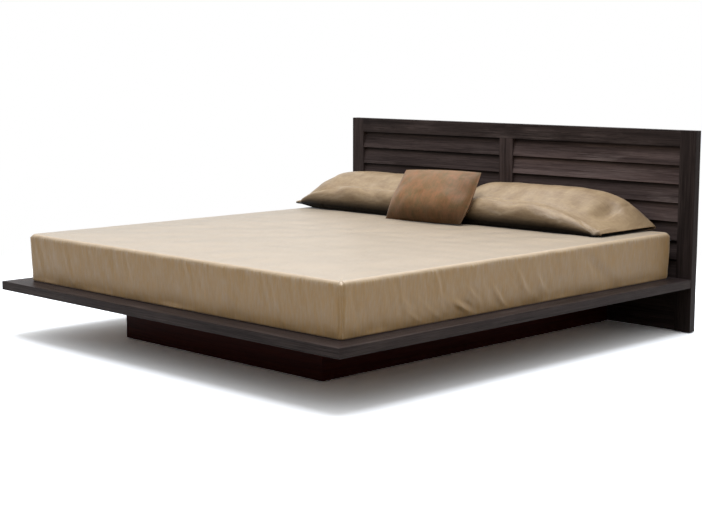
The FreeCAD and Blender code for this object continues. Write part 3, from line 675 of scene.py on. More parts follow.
def satin_group():
    """Colour, roughness, height and unshaded share of satin. Patches and slubs choose between a light and a
    dark tone, and a third colour, painted shade, takes over by the painted shade share. The vector is a UV
    map in metres."""
    inputs = [
        ("Vector", "NodeSocketVector", (0, 0, 0)),
        ("Painted Shade", "NodeSocketFloat", 0.0),
        ("Light", "NodeSocketColor", (0.7, 0.6, 0.45, 1)),
        ("Dark", "NodeSocketColor", (0.5, 0.4, 0.3, 1)),
        ("Painted Shade Color", "NodeSocketColor", (0.1, 0.08, 0.06, 1)),
        ("Patches", "NodeSocketFloat", 6.0),
        ("Slubs", "NodeSocketFloat", 0.3),
        ("Ragged", "NodeSocketFloat", 2.0),
    ]
    outputs = [
        ("Color", "NodeSocketColor"),
        ("Roughness", "NodeSocketFloat"),
        ("Height", "NodeSocketFloat"),
        ("Unshaded", "NodeSocketFloat"),
    ]
    group, start, end = new_group("satin_weave", inputs, outputs)
    given = start.outputs
    vector = given["Vector"]
    painted_shade = given["Painted Shade"]
    threads = noise(group, scaled(group, vector, THREADS), detail=1.0)
    slubs = noise(group, scaled(group, vector, SLUBS), detail=3.0, roughness=0.7)
    ruckles = noise(group, scaled(group, vector, RUCKLES), detail=4.0, roughness=0.65)
    patches = noise(group, scaled(group, vector, given["Patches"]), detail=5.0, roughness=0.78)
    # The share of painted shade gets a ragged edge from the ruckles.
    between = worked(group, "MULTIPLY", painted_shade, worked(group, "SUBTRACT", 1.0, painted_shade))
    turning = worked(group, "MULTIPLY", between, given["Ragged"])
    shift = worked(group, "MULTIPLY", worked(group, "SUBTRACT", ruckles, 0.5), turning)
    ragged = ranged(group, worked(group, "ADD", painted_shade, shift), 0.0, 1.0)
    slub_part = worked(group, "MULTIPLY", slubs, given["Slubs"])
    patch_part = worked(group, "MULTIPLY", patches, worked(group, "SUBTRACT", 1.0, given["Slubs"]))
    tone = ranged(group, worked(group, "ADD", slub_part, patch_part), 0.38, 0.62)
    unshaded_cloth = mixed(group, tone, given["Dark"], given["Light"])
    slub_shade = ranged(group, slubs, 0.35, 0.65, 0.92, 1.08)
    ruckle_shade = ranged(group, ruckles, 0.3, 0.7, 0.93, 1.07)
    # Painted shade colour, where the cloth turns under and on the cover's sides.
    painted_shade_cloth = scaled(group, given["Painted Shade Color"], worked(group, "MULTIPLY", slub_shade, ruckle_shade))
    weave = worked(group, "ADD", threads, slubs)
    results = {
        "Color": mixed(group, ragged, unshaded_cloth, painted_shade_cloth),
        "Roughness": ranged(group, slubs, 0.3, 0.7, *SATIN_ROUGHNESS),
        "Height": worked(group, "ADD", weave, worked(group, "MULTIPLY", ruckles, RUCKLE_RELIEF)),
        "Unshaded": worked(group, "SUBTRACT", 1.0, ragged),
    }
    for name, result in results.items():
        group.links.new(result, end.inputs[name])
    return group


satin_weave = satin_group()

# %% Satin materials
WEAVE_STRENGTH = 0.35
WEAVE_DEPTH = 0.0003
SHEEN_COLOUR = (0.90, 0.96, 1.0, 1)
SHEEN_ROUGHNESS = 0.28


def satin(name, light, dark, painted_shade, patches, slubs, ragged, gloss, sheen, glaze, glaze_roughness):
    """Satin with a soft gloss and sheen all over, and a glaze only where the cloth has no painted shade."""
    material, tree, shader = new_material(name)
    # This attribute holds each point's share of painted shade.
    painted_shade_node = tree.nodes.new("ShaderNodeAttribute")
    painted_shade_node.attribute_name = "painted_shade"
    weave = grouped(tree, satin_weave, {
        "Vector": tree.nodes.new("ShaderNodeTexCoord").outputs["UV"], "Painted Shade": painted_shade_node.outputs["Fac"],
        "Light": light, "Dark": dark, "Painted Shade Color": painted_shade,
        "Patches": patches, "Slubs": slubs, "Ragged": ragged})
    tree.links.new(weave.outputs["Color"], shader.inputs["Base Color"])
    tree.links.new(weave.outputs["Roughness"], shader.inputs["Roughness"])
    threads = relief(tree, weave.outputs["Height"], WEAVE_STRENGTH, WEAVE_DEPTH)
    tree.links.new(threads, shader.inputs["Normal"])
    shader.inputs["Specular IOR Level"].default_value = gloss
    shader.inputs["Sheen Weight"].default_value = sheen
    shader.inputs["Sheen Roughness"].default_value = SHEEN_ROUGHNESS
    shader.inputs["Sheen Tint"].default_value = SHEEN_COLOUR
    tree.links.new(worked(tree, "MULTIPLY", weave.outputs["Unshaded"], glaze), shader.inputs["Coat Weight"])
    shader.inputs["Coat Roughness"].default_value = glaze_roughness
    print("satin:", name)
    return material


# The third colour of each satin is its painted shade.
cover_satin = satin(
    "cover_satin", srgb(208, 184, 152), srgb(197, 173, 141), srgb(188, 151, 100), patches=18.0, slubs=0.6,
    ragged=12.0, gloss=0.5, sheen=1.0, glaze=0.3, glaze_roughness=0.32)
case_satin = satin(
    "case_satin", srgb(170, 146, 113), srgb(138, 114, 86), srgb(8, 5, 3), patches=12.0, slubs=0.3,
    ragged=1.0, gloss=0.05, sheen=0.08, glaze=0.5, glaze_roughness=0.40)
copper_satin = satin(
    "copper_satin", srgb(153, 106, 72), srgb(110, 93, 60), srgb(41, 30, 22), patches=18.0, slubs=0.35,
    ragged=1.0, gloss=0.05, sheen=0.12, glaze=0.34, glaze_roughness=0.42)

# %% [markdown]
# ## The mattress in its fitted cover
#
# A fitted cover pulls tight over the top and round the rounded edge, and then falls slightly inwards to
# an elastic hem under the mattress. Its shape is one grid: columns run round a rounded rectangle, and
# rows run from the middle of the underside, out to the hem, up the side, over the edge and in again to
# the middle of the top. Creases, and the small gathers below the upper edge, are then added along the
# surface's own outward direction.


# %% Rounded outline
def rounded_outline(half_x, half_y, corner, corner_steps, spacing):
    """Points, outward directions and running lengths round a rectangle. A corner's points are its centre
    plus its radius times a direction, and the straight runs between corners have even steps."""
    points = []
    outward = []
    signs = ((1, 1), (-1, 1), (-1, -1), (1, -1))
    turns = [number * np.pi / 2 + np.linspace(0, np.pi / 2, corner_steps + 1) for number in range(4)]
    for number, (sign_x, sign_y) in enumerate(signs):
        center = np.array((sign_x * (half_x - corner), sign_y * (half_y - corner)))
        direction = np.stack((np.cos(turns[number]), np.sin(turns[number])), axis=-1)
        points.append(center + direction * corner)
        outward.append(direction)
        next_x, next_y = signs[(number + 1) % 4]
        next_center = np.array((next_x * (half_x - corner), next_y * (half_y - corner)))
        run_start = center + direction[-1] * corner
        run_end = next_center + direction[-1] * corner
        count = int(np.linalg.norm(run_end - run_start) / spacing)
        shares = np.linspace(0, 1, count + 1)[1:-1, None]
        points.append(run_start + (run_end - run_start) * shares)
        outward.append(np.repeat(direction[-1:], count - 1, axis=0))
    points = np.concatenate(points)
    outward = np.concatenate(outward)
    steps = np.linalg.norm(np.roll(points, -1, axis=0) - points, axis=1)
    return points, outward, np.concatenate(([0], np.cumsum(steps)[:-1]))


# %% Mattress profile
MATTRESS_CORNER = 0.026
CORNER_STEPS = 22
COLUMN_SPACING = 0.0085
MATTRESS_ROUND = 0.017
MATTRESS_CROWN = 0.004
BASE_DRAWN_IN = 0.007
BASE_ROUND = 0.007
ROUND_ROWS = 8
SIDE_ROWS = 30

low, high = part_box("mattress")
mattress_middle = np.array(((low.x + high.x) / 2, (low.y + high.y) / 2))
outline, outward, around = rounded_outline(
    (high.x - low.x) / 2, (high.y - low.y) / 2, MATTRESS_CORNER, CORNER_STEPS, COLUMN_SPACING)

edge_z = high.z - MATTRESS_CROWN
shoulder_z = edge_z - MATTRESS_ROUND
turn = np.linspace(0, np.pi / 2, ROUND_ROWS)
under_scale = np.array((0.02, 0.4, 0.7, 0.88, 0.95))
side_z = np.linspace(low.z + BASE_ROUND, shoulder_z, SIDE_ROWS)
side_share = (side_z - side_z[0]) / (side_z[-1] - side_z[0])
top_scale = 1 - np.concatenate((np.linspace(0.006, 0.09, 10), np.linspace(0.11, 0.98, 22)))
inset = np.concatenate((
    np.full(len(under_scale), BASE_DRAWN_IN + BASE_ROUND),
    BASE_DRAWN_IN + BASE_ROUND * (1 - np.sin(turn[:-1])),
    BASE_DRAWN_IN * (1 - side_share) ** 1.5,
    MATTRESS_ROUND * (1 - np.cos(turn[1:])),
    np.full(len(top_scale), MATTRESS_ROUND),
))
scale = np.concatenate((under_scale, np.ones(len(turn) - 1 + len(side_z) + len(turn) - 1), top_scale))
height = np.concatenate((
    np.full(len(under_scale), low.z),
    low.z + BASE_ROUND * (1 - np.cos(turn[:-1])),
    side_z,
    shoulder_z + MATTRESS_ROUND * np.sin(turn[1:]),
    np.full(len(top_scale), edge_z),
))
first_top = len(scale) - len(top_scale)
is_top = (np.arange(len(scale)) >= first_top).astype(float)
print("mattress grid:", len(scale), "rows of", len(outline), "points")

# %% [markdown]
# ## The cover's creases
#
# A crease in cloth is a narrow ridge with a shallow valley beside it. It runs at a slant and fades out at
# both ends. Most of this cover's creases are on its right side, nearer the foot, where it was pulled on.
# The deepest have a place of their own, and slight ones fill the sides between them by chance.


# %% Creases
VALLEY_SHARE = 0.6

# Limits for a crease's shift along the side, level, slant, reach, width and share of the lift.
CREASE_LIMITS = ((-0.03, 0.03), (0.27, 0.37), (0.2, 1.5), (0.04, 0.09), (0.006, 0.013), (0.5, 1.0))


def crease(run, z, place, level, slant, reach, width, lift):
    """Ridge and valley across a side: a bell curve across the crease times a wider one along it."""
    along = z - level
    across = (run - place + slant * along) / math.sqrt(1 + slant ** 2)
    shape = hill(across, 0, width) - VALLEY_SHARE * hill(across, 1.8 * width, 1.2 * width)
    return lift * shape * hill(along * math.sqrt(1 + slant ** 2), 0, reach)


def crease_group(run, z, first, last, count, lift, seed):
    """Creases at even places between two places on the outline, each a little different."""
    random = np.random.default_rng(seed)
    total = np.zeros(np.broadcast(run, z).shape)
    for place in np.linspace(first, last, count):
        shift, level, slant, reach, width, share = [random.uniform(*limits) for limits in CREASE_LIMITS]
        total = total + crease(run, z, place + shift, level, slant, reach, width, lift * share)
    return total


print("slight creases lie up to %.0f mm off their even places" % (1000 * CREASE_LIMITS[0][1]))

# %% Mattress surface
plan = (outline[None] - outward[None] * inset[:, None, None]) * scale[:, None, None]
x = plan[..., 0] + mattress_middle[0]
y = plan[..., 1] + mattress_middle[1]
z = np.repeat(height[:, None], len(outline), axis=1)
rise = (z - low.z) / (edge_z - low.z)
run = np.repeat(around[None], len(height), axis=0)
from_edge = (high.x - low.x) / 2 * (1 - scale)[:, None]
top = is_top[:, None]
print("mattress surface: %.3f m across and %.3f m long" % (np.ptp(x), np.ptp(y)))

# %% Mattress creases
CREASE_LIFT = 0.0034

# The deepest creases, by place along the outline from the near corner, level, slant, reach, width and lift.
PULLED_CREASES = (
    (0.49, 0.384, 0.3, 0.060, 0.011, 0.0050), (0.61, 0.290, 1.6, 0.045, 0.011, 0.0065),
    (0.68, 0.330, 1.1, 0.040, 0.009, 0.0045), (0.84, 0.300, 0.9, 0.060, 0.010, 0.0055),
    (0.97, 0.355, 0.7, 0.070, 0.011, 0.0042), (1.10, 0.320, 0.9, 0.050, 0.012, 0.0035),
    (1.46, 0.355, 1.3, 0.100, 0.024, -0.0060))

near_corner = around[np.argmax(outline[:, 0] - outline[:, 1])]

# Groups of slight creases, by first and last place on the outline, count, share of the lift and seed.
crease_groups = (
    (near_corner + 0.30, near_corner + 1.10, 14, 0.7, 21),
    (near_corner - 1.6, near_corner - 0.06, 7, 0.4, 22),
    (0.4, near_corner - 2.1, 18, 0.6, 23),
)
creases = np.zeros_like(z)
for first, last, count, share, seed in crease_groups:
    creases = creases + crease_group(run, z, first, last, count, share * CREASE_LIFT, seed)
for place, level, slant, reach, width, lift in PULLED_CREASES:
    creases = creases + crease(run, z, near_corner + place, level, slant, reach, width, lift)
print("creases: up to %.1f mm high" % (creases.max() * 1000))

# %% Mattress relief
CROWN_REACH = 0.26
SEAM_WIDTH = 0.0032
SEAM_LIFT = 0.0022
SEAM_VALLEY = 2.4 * SEAM_WIDTH
NOTCH_DEPTH = 0.005
NOTCH_WIDTH = 0.009
HEM_FLARE = 0.003
SWELL_LIFT = 0.0016
FINE_LIFT = 0.0007
GATHER_LIFT = 0.0011
TOP_LIFT = 0.0008

diagonal = np.abs(np.abs(outward[:, 0]) - np.abs(outward[:, 1]))
from_seam = (np.arcsin(np.clip(diagonal / math.sqrt(2), 0, 1)) * MATTRESS_CORNER)[None]
seam = SEAM_LIFT * (hill(from_seam, 0, SEAM_WIDTH) - hill(from_seam, SEAM_VALLEY, SEAM_WIDTH))
notch = NOTCH_DEPTH * hill(from_seam, 0, NOTCH_WIDTH)
flare = HEM_FLARE * hill(from_seam, 0, NOTCH_WIDTH) * (1 - smooth_step(rise, 0.03, 0.16))

on_side = (1 - top) * smooth_step(rise, 0.0, 0.12) * (1 - smooth_step(rise, 0.9, 1.0))
swell = SWELL_LIFT * ripples(run, z * 0.35, shortest=0.10, longest=0.45, count=12, seed=5)
fine = FINE_LIFT * ripples(run + z * 0.3, z * 0.12, shortest=0.03, longest=0.09, count=16, seed=8)
gathers = GATHER_LIFT * ripples(run, z * 0.1, shortest=0.035, longest=0.08, count=16, seed=9)
gathers = gathers * hill(rise, 0.97, 0.14)

bulge = on_side * (swell + fine + creases) + gathers * smooth_step(rise, 0.0, 0.12)
bulge = bulge + (1 - top) * (flare + smooth_step(rise, 0.02, 0.1) * seam)
bulge = bulge - notch / 2 * (1 - top) * smooth_step(rise, 0.93, 1.0)
x = x + outward[None, :, 0] * bulge
y = y + outward[None, :, 1] * bulge
z = z + top * MATTRESS_CROWN * smooth_step(from_edge, 0, CROWN_REACH)
unevenness = TOP_LIFT * ripples(x, y, shortest=0.12, longest=0.5, count=14, seed=3)
z = z + top * smooth_step(from_edge, 0, 0.1) * unevenness
z = z - notch * smooth_step(rise, 0.9, 1.0) * (1 - smooth_step(from_edge, 0, 0.06))
print("cover bulges by up to %.1f mm" % (bulge.max() * 1000))

# %% Mattress mesh
SIDE_SHADE = 0.85
SIDE_SHADE_TOP = 0.87

rows, columns = x.shape
points = np.stack((x, y, z), axis=-1).reshape(-1, 3)
center_x, center_y = mattress_middle
ends = np.array(((center_x, center_y, low.z), (center_x, center_y, z[-1].mean())))
ring = np.arange(columns)
following = np.roll(ring, -1)
bottom_fan = np.stack((np.full(columns, rows * columns), following, ring), axis=-1)
top_fan = np.stack((ring, following, np.full(columns, rows * columns + 1)), axis=-1)
top_fan[:, :2] += (rows - 1) * columns
faces = list(grid_faces(rows, columns, True)) + list(bottom_fan) + list(top_fan)

profile = np.stack((inset + (1 - scale) * (high.x - low.x) / 2, height), axis=-1)
up_the_side = np.concatenate(([0], np.cumsum(np.linalg.norm(np.diff(profile, axis=0), axis=1))))
side_uv = grid_uv(np.append(around, around[-1] + COLUMN_SPACING)[None], up_the_side[:, None])
top_uv = grid_uv(*[np.concatenate((values, values[:, :1]), axis=1) for values in (x, y)])
face_row = np.repeat(np.arange(rows - 1), columns * 4)[:, None]
uv = np.where(face_row >= first_top - 1, top_uv, side_uv)
mattress = new_piece("mattress_cover", np.concatenate((points, ends)), faces, cover_satin, uv)

# Painted shade on the cover's sides and underside, fading out over the rounded upper edge; the top has none.
side_shade = SIDE_SHADE * (1 - np.maximum(is_top, smooth_step(rise[:, 0], SIDE_SHADE_TOP, 1.0)))
mark(mattress, "painted_shade", np.concatenate((np.repeat(side_shade, columns), (SIDE_SHADE, 0.0))))
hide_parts("mattress")
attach(mattress, "mattress")


# %% [markdown]
# ## Cloth with air in it
#
# A filled pillow looks soft because its cloth is a little too big for its filling, so it puckers. The
# cloth simulator does that well: the piece starts in its final form, its cloth is told to be a few
# percent larger, and a gentle pressure holds it out for some frames. Seams and hems are pinned, and no
# point may move further than a cap, so the piece keeps its place.


# %% Cloth simulation
CLOTH_SETTINGS = {
    "quality": 6, "mass": 0.25, "tension_stiffness": 15, "compression_stiffness": 15, "shear_stiffness": 6,
    "bending_stiffness": 0.35, "use_pressure": True, "shrink_min": 0.0, "vertex_group_shrink": "spare",
    "vertex_group_mass": "pins"}
CLOTH_GROWTH = 0.025
CLOTH_FRAMES = 18


def pucker(piece, pinned, loose, pressure, cap):
    """Run cloth on a mesh and return its points, each move shortened smoothly to less than the cap.
    Where loose is 1 the cloth is larger by a small share, and where it is 0 it keeps its size."""
    scene = bpy.context.scene
    rest = coordinates(piece)
    for name, weights in (("pins", pinned), ("spare", loose)):
        group = piece.vertex_groups.new(name=name)
        for index in np.flatnonzero(weights > 0):
            group.add([int(index)], float(weights[index]), "REPLACE")
    cloth = piece.modifiers.new("cloth", "CLOTH")
    for name, value in CLOTH_SETTINGS.items():
        setattr(cloth.settings, name, value)
    cloth.settings.uniform_pressure_force = pressure
    cloth.settings.shrink_max = -CLOTH_GROWTH
    cloth.settings.effector_weights.gravity = 0
    cloth.point_cache.frame_start = 1
    cloth.point_cache.frame_end = CLOTH_FRAMES
    for number in range(1, CLOTH_FRAMES + 1):
        scene.frame_set(number)
    evaluated = piece.evaluated_get(bpy.context.evaluated_depsgraph_get())
    values = np.zeros(len(rest) * 3, np.float32)
    evaluated.data.vertices.foreach_get("co", values)
    piece.modifiers.remove(cloth)
    piece.vertex_groups.clear()
    scene.frame_set(1)
    move = values.reshape(-1, 3) - rest
    length = np.linalg.norm(move, axis=1, keepdims=True)
    move = move * (cap * np.tanh(length / cap) / np.maximum(length, 1e-9))
    print(piece.name, "moved up to %.1f mm" % (np.linalg.norm(move, axis=1).max() * 1000))
    return rest + move


def set_coordinates(piece, points):
    """Put an array of points back into a mesh."""
    piece.data.vertices.foreach_set("co", points.astype(np.float32).ravel())
    piece.data.update()


def subdivide_once(piece):
    """Split each face into four and round them, by a modifier."""
    finish = piece.modifiers.new("smooth", "SUBSURF")
    finish.levels = 1
    finish.render_levels = 1


# %% [markdown]
# ## The pillows
#
# Each pillow lies in a case that is sewn shut at one end and open at the other. Near the sewn end it is
# full, and towards the open end it flattens until the case's two layers lie on each other in a hem.
# Sections across the pillow are drawn as fourteen points each: one where it is full, with a
# ridge low on its front and a shelf behind the ridge, two for the way to the open end, of which the
# right pillow takes the one that falls and the left pillow the one that stays round, and the flat hem.
# Every row of the pillow is a blend of three, with a smooth closed curve through its points, so the
# points of the ridge make one long fold that ends in the hem's front corner.

# %% Pillow sections
COLUMNS_BETWEEN = 10

# Each point is a share of the depth, from the front, and a share of the height. They run from the front
# edge up over the ridge, the shelf and the top, down to the back edge and forward again underneath.
FULL_SECTION = (
    (-0.01, 0.32), (0.005, 0.50), (0.06, 0.62), (0.15, 0.60), (0.25, 0.73), (0.48, 0.955), (0.78, 0.90),
    (1.00, 0.52), (0.985, 0.18), (0.88, 0.00), (0.60, 0.00), (0.02, 0.00), (-0.02, 0.02), (-0.025, 0.11))
FALLING_SECTION = (
    (0.00, 0.22), (0.02, 0.32), (0.06, 0.38), (0.14, 0.36), (0.34, 0.50), (0.80, 0.88), (0.93, 0.80),
    (1.00, 0.48), (0.985, 0.20), (0.88, 0.00), (0.60, 0.00), (0.05, 0.00), (0.00, 0.02), (-0.01, 0.10))
ROUND_SECTION = (
    (-0.01, 0.28), (0.005, 0.42), (0.06, 0.52), (0.15, 0.72), (0.30, 0.95), (0.48, 1.02), (0.75, 0.86),
    (1.00, 0.48), (0.985, 0.20), (0.88, 0.00), (0.60, 0.00), (0.05, 0.00), (0.00, 0.02), (-0.01, 0.10))
HEM_SECTION = (
    (0.05, 0.50), (0.06, 0.85), (0.09, 1.00), (0.16, 1.00), (0.34, 1.00), (0.60, 1.00), (0.93, 1.00),
    (1.00, 0.50), (0.93, 0.00), (0.60, 0.00), (0.34, 0.00), (0.16, 0.00), (0.09, 0.00), (0.06, 0.15))

# How much painted shade the cloth takes where it turns under, at places counted in those points from the
# front edge.
PAINTED_SHADE_PLACES = (0, 0.7, 1.7, 6, 7, 8, 9, 13, 13.5, 14)
PAINTED_SHADE_SHARES = (0.62, 0.38, 0.0, 0.0, 0.2, 0.6, 1.0, 1.0, 0.9, 0.62)


def closed_curve(points, between):
    """Closed curves through rows of points: each stretch is a cubic, and its slope at a point is half of
    the step between that point's neighbours."""
    before = np.roll(points, 1, axis=1)[:, :, None]
    here = points[:, :, None]
    after = np.roll(points, -1, axis=1)[:, :, None]
    later = np.roll(points, -2, axis=1)[:, :, None]
    t = (np.arange(between) / between)[None, None, :, None]
    slope = (after - before) * t
    bend = (2 * before - 5 * here + 4 * after - later) * t ** 2
    twist = (3 * here - before - 3 * after + later) * t ** 3
    curve = here + (slope + bend + twist) / 2
    return curve.reshape(len(points), -1, 2)


print("a pillow's section:", len(FULL_SECTION), "points by hand,", COLUMNS_BETWEEN, "columns for each")

# %% Pillow shape
PILLOW_ROWS = 120
EVEN_PART = 0.45
CROWDED_PART = 0.55
SEWN_FULLNESS = 11.0
SEWN_ROUNDNESS = 0.5
HEM = 0.014
CASE_CLOTH = 0.0022
MOUTH_DEPTH = 0.06
MOUTH_NARROWING = 0.02
STITCH_PLACE = 0.095
STITCH_DEPTH = 0.0026
STITCH_WIDTH = 0.0045
FILLING_END = 0.110
FILLING_DIP = 0.027
FILLING_WIDTH = 0.034
FALL_START = 0.0
FALL_END = 0.93
DENT = 0.0036
SMOOTH_TOP = 0.7

# The rows that turn back into the mouth: how far back, as a share of its depth, and how flat.
MOUTH_ROWS = ((0.0, 1 - 2 * CASE_CLOTH / HEM), (0.4, 0.5), (1.0, 0.1))


def pillow_grid(length, depth, height, fullness, filled, end_section, lift, seed):
    """Rows of sections from the sewn end to the open end, then a few more that turn back into the mouth.
    The thickness above the hem's falls with 1 minus a power of the way to the end. Filled is where the
    filling ends towards the open end, which is 1. The full section changes into the end section on the way
    there, and lift raises that end off the bed."""
    even = np.linspace(0, 1, PILLOW_ROWS)
    station = EVEN_PART * (2 * even - 1) - CROWDED_PART * np.cos(np.pi * even)
    power = np.where(station < 0, SEWN_FULLNESS, fullness)
    roundness = np.where(station < 0, SEWN_ROUNDNESS, 1.0)
    reached = np.where(station < 0, station, np.minimum(station / filled, 1))
    swell = np.clip(1 - np.abs(reached) ** power, 0, 1) ** roundness
    thick = HEM + (height - HEM) * swell
    fall = smooth_step(reached, FALL_START, FALL_END)[:, None, None]
    flat = np.maximum(smooth_step(reached, FALL_END, 1), smooth_step(-reached, FALL_END, 1))[:, None, None]
    shares = np.array(FULL_SECTION) * (1 - fall) + np.array(end_section) * fall
    shares = shares * (1 - flat) + np.array(HEM_SECTION) * flat
    section = closed_curve(shares, COLUMNS_BETWEEN)
    x = np.repeat(station[:, None] * length / 2, section.shape[1], axis=1)
    y = (section[..., 0] - 0.5) * depth
    up = np.maximum(section[..., 1], 0)
    z = up * thick[:, None]
    dents = ripples(x, y, shortest=0.08, longest=0.28, count=10, seed=seed) * DENT * swell[:, None]
    from_end = length / 2 - x
    stitches = STITCH_DEPTH * hill(from_end, STITCH_PLACE, STITCH_WIDTH)
    upper = smooth_step(up, 0.3, 0.6) * (1 - SMOOTH_TOP * smooth_step(up, 0.8, 0.95))
    in_front = smooth_step(section[..., 0], 0.2, 0.45) * (1 - smooth_step(section[..., 0], 0.58, 0.75))
    dip = FILLING_DIP * hill(from_end, FILLING_END, FILLING_WIDTH) * smooth_step(up, 0.3, 0.5) * in_front
    z = z + upper * dents - smooth_step(up, 0.3, 0.8) * stitches - dip
    z = z + lift * smooth_step(station, 0.45, 0.85)[:, None]
    grid = np.stack((x, y, z), axis=-1)
    mouth = grid[-1]
    middle = mouth.mean(axis=0)
    inner = []
    for back, squeeze in MOUTH_ROWS:
        row = (mouth - middle) * np.array((1, 1 - MOUTH_NARROWING * (1 + back), squeeze)) + middle
        row[:, 0] = mouth[:, 0] - back * MOUTH_DEPTH
        inner.append(row)
    return np.concatenate((grid, np.stack(inner)))


print("a case has", PILLOW_ROWS, "rows of cloth, and", len(MOUTH_ROWS), "more inside its mouth")

# %% Pillow pieces
CASE_ROUND = 1.03
TAUT_HEM = 0.85
PILLOW_PRESSURE = 1.0
PILLOW_CAP = 0.008


def pillow_piece(name, node, mirror, fullness, filled, end_section, lift, trim, seed):
    """Pillow in its case, in the place of a CAD node. Its open end is on the right or, mirrored, on the left,
    and stops short of the node's end by trim."""
    low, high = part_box(node)
    length = high.x - low.x - trim
    depth = high.y - low.y
    grid = pillow_grid(length, depth, high.z - low.z, fullness, filled, end_section, lift, seed)
    rows, columns = grid.shape[:2]
    uv = grid_uv(np.linspace(0, CASE_ROUND, columns + 1)[None], grid[:, :1, 0])
    if mirror:
        grid = grid * np.array((-1, 1, 1))
    shift = trim / 2 if mirror else -trim / 2
    middle = np.array(((low.x + high.x) / 2 + shift, (low.y + high.y) / 2, low.z))
    ring = np.arange(columns // 2)
    other_ring = (columns - ring) % columns
    sewn_end = np.stack((other_ring, (columns - ring - 1) % columns, ring + 1, ring), axis=-1)
    mouth_end = sewn_end[:, ::-1] + (rows - 1) * columns
    all_faces = np.concatenate((grid_faces(rows, columns, True), sewn_end, mouth_end))
    if not mirror:
        all_faces = all_faces[:, ::-1]
        uv = uv.reshape(-1, 4, 2)[:, ::-1].reshape(-1, 2)
    piece = new_piece(name, grid.reshape(-1, 3) + middle, all_faces, case_satin, uv)
    row_index = np.repeat(np.arange(rows), columns)
    pinned = np.where((row_index < 1) | (row_index >= PILLOW_ROWS - 1), 1.0, 0.0)
    share = row_index / (PILLOW_ROWS - 1)
    loose = smooth_step(share, 0.0, 0.06) * (1 - TAUT_HEM * smooth_step(share, 0.72, 0.95))
    points = pucker(piece, pinned, loose, PILLOW_PRESSURE, PILLOW_CAP)
    points[:, 2] = np.maximum(points[:, 2], low.z)
    set_coordinates(piece, points)
    # Painted shade on each case's low front, low back and underside.
    section_place = np.arange(columns) / COLUMNS_BETWEEN
    mark(piece, "painted_shade", np.tile(np.interp(section_place, PAINTED_SHADE_PLACES, PAINTED_SHADE_SHARES), rows))
    subdivide_once(piece)
    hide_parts(node)
    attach(piece, node)


# %% The two pillows
pillow_piece(
    "pillow_right_case", "pillow_right", mirror=False, fullness=4.2, filled=1.0,
    end_section=FALLING_SECTION, lift=0.0, trim=0.034, seed=11)
pillow_piece(
    "pillow_left_case", "pillow_left", mirror=True, fullness=5.0, filled=0.92,
    end_section=ROUND_SECTION, lift=0.010, trim=0.010, seed=12)

# %% [markdown]
# ## The cushion
#
# A cushion is two square sheets sewn together and stuffed. Its thickness is greatest in the middle and
# falls to nothing at the seam, its sides and its upper edge bow out a little between the corners, and
# it leans back on the pillows. Both sheets are grids that share the seam's points.

# %% Cushion shape
CUSHION_WIDTH = 0.464
CUSHION_HEIGHT = 0.274
CUSHION_THICKNESS = 0.138
CUSHION_COLUMNS = 84
CUSHION_ROWS = 52
FLANGE = 0.008
FLANGE_THICKNESS = 0.0035
SIDES_OUT = 0.030
TOP_OUT = 0.045
SAG = 0.22
FOLD_LIFT = 0.003


def crowded(count):
    """Numbers from -1 to 1, closer together at both ends: the mean of an even one and its sine."""
    even = np.linspace(-1, 1, count)
    return (even + np.sin(even * np.pi / 2)) / 2


def cushion_sheet(a, b, side):
    """One sheet for a and b from -1 to 1. Its thickness is the root of two falls to the edge, multiplied."""
    half_x = CUSHION_WIDTH / 2 * (1 + SIDES_OUT * (1 - b ** 2))
    half_z = CUSHION_HEIGHT / 2 * (1 + TOP_OUT * (1 - a ** 2) * (1 + b) / 2)
    filled_a = np.clip(np.abs(a) * CUSHION_WIDTH / (CUSHION_WIDTH - 2 * FLANGE), 0, 1)
    filled_b = np.clip(np.abs(b) * CUSHION_HEIGHT / (CUSHION_HEIGHT - 2 * FLANGE), 0, 1) * np.sign(b)
    sagged = filled_b + SAG * (1 - filled_b ** 2)
    fall = ((1 - filled_a ** 2.4) * (1 - np.abs(sagged) ** 2.2)) ** 0.5
    x = a * half_x
    z = b * half_z
    folds = FOLD_LIFT * ripples(x, z, shortest=0.07, longest=0.2, count=9, seed=31) * np.minimum(1, 3 * fall)
    seam = (np.abs(a) < 1) & (np.abs(b) < 1)
    y = side * (seam * FLANGE_THICKNESS / 2 + (CUSHION_THICKNESS - FLANGE_THICKNESS) / 2 * fall + folds)
    return np.stack((x, y, z), axis=-1)


# %% Cushion sheets
CUSHION_LEAN = math.radians(34)
CUSHION_ROLL = math.radians(1.6)


def turned(first, second, angle):
    """Two coordinates turned about the third: each is a sum of both, times the angle's cosine and sine."""
    cosine, sine = math.cos(angle), math.sin(angle)
    return first * cosine - second * sine, first * sine + second * cosine


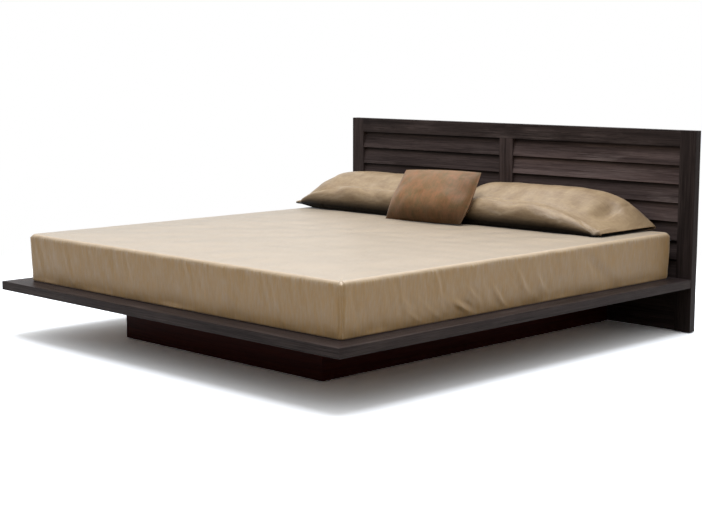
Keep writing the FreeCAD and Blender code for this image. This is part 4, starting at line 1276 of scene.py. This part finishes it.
a, b = np.meshgrid(crowded(CUSHION_COLUMNS), crowded(CUSHION_ROWS))
count = CUSHION_ROWS * CUSHION_COLUMNS
index = np.arange(count).reshape(CUSHION_ROWS, CUSHION_COLUMNS)
on_seam = np.ones_like(index, bool)
on_seam[1:-1, 1:-1] = False
used = np.concatenate((index.ravel(), (index + count)[~on_seam]))
renumber = np.full(2 * count, -1)
renumber[used] = np.arange(len(used))

front_faces = grid_faces(CUSHION_ROWS, CUSHION_COLUMNS, False)
back_faces = np.where(on_seam, index, index + count).ravel()[front_faces][:, ::-1]
all_faces = renumber[np.concatenate((front_faces, back_faces))]
sheets = [cushion_sheet(a, b, side).reshape(-1, 3) for side in (-1, 1)]
x, y, z = np.concatenate(sheets)[used].T
x, z = turned(x, z, CUSHION_ROLL)
z, y = turned(z, y, CUSHION_LEAN)
print("cushion: %.3f m high as it leans" % np.ptp(z))

# %% Cushion
CUSHION_PRESSURE = 1.5
CUSHION_CAP = 0.006
LOWER_PAINTED_SHADE = 0.75
RIGHT_PAINTED_SHADE = 0.30

low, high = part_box("cushion")
middle = np.array(((low.x + high.x) / 2, (low.y + high.y) / 2, (low.z + high.z) / 2))
placed = np.stack((x, y, z), axis=-1) + middle
uv_front = grid_uv(a * CUSHION_WIDTH / 2, b * CUSHION_HEIGHT / 2)
uv_back = uv_front.reshape(-1, 4, 2)[:, ::-1].reshape(-1, 2)
cushion = new_piece("cushion_cover", placed, all_faces, copper_satin, np.concatenate((uv_front, uv_back)))
pinned = np.isin(np.arange(len(used)), renumber[index[on_seam]]).astype(float)
set_coordinates(cushion, pucker(cushion, pinned, np.ones(len(used)), CUSHION_PRESSURE, CUSHION_CAP))

# Painted shade darkens the cushion's lower part and, less, its right side.
across = np.tile(a.ravel(), 2)[used]
level = np.tile(b.ravel(), 2)[used]
unshaded_share = 1 - LOWER_PAINTED_SHADE * smooth_step(-level, 0.15, 0.95)
unshaded_share = unshaded_share * (1 - RIGHT_PAINTED_SHADE * smooth_step(across, 0.3, 1.0))
mark(cushion, "painted_shade", 1 - unshaded_share)
subdivide_once(cushion)
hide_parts("cushion")
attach(cushion, "cushion")
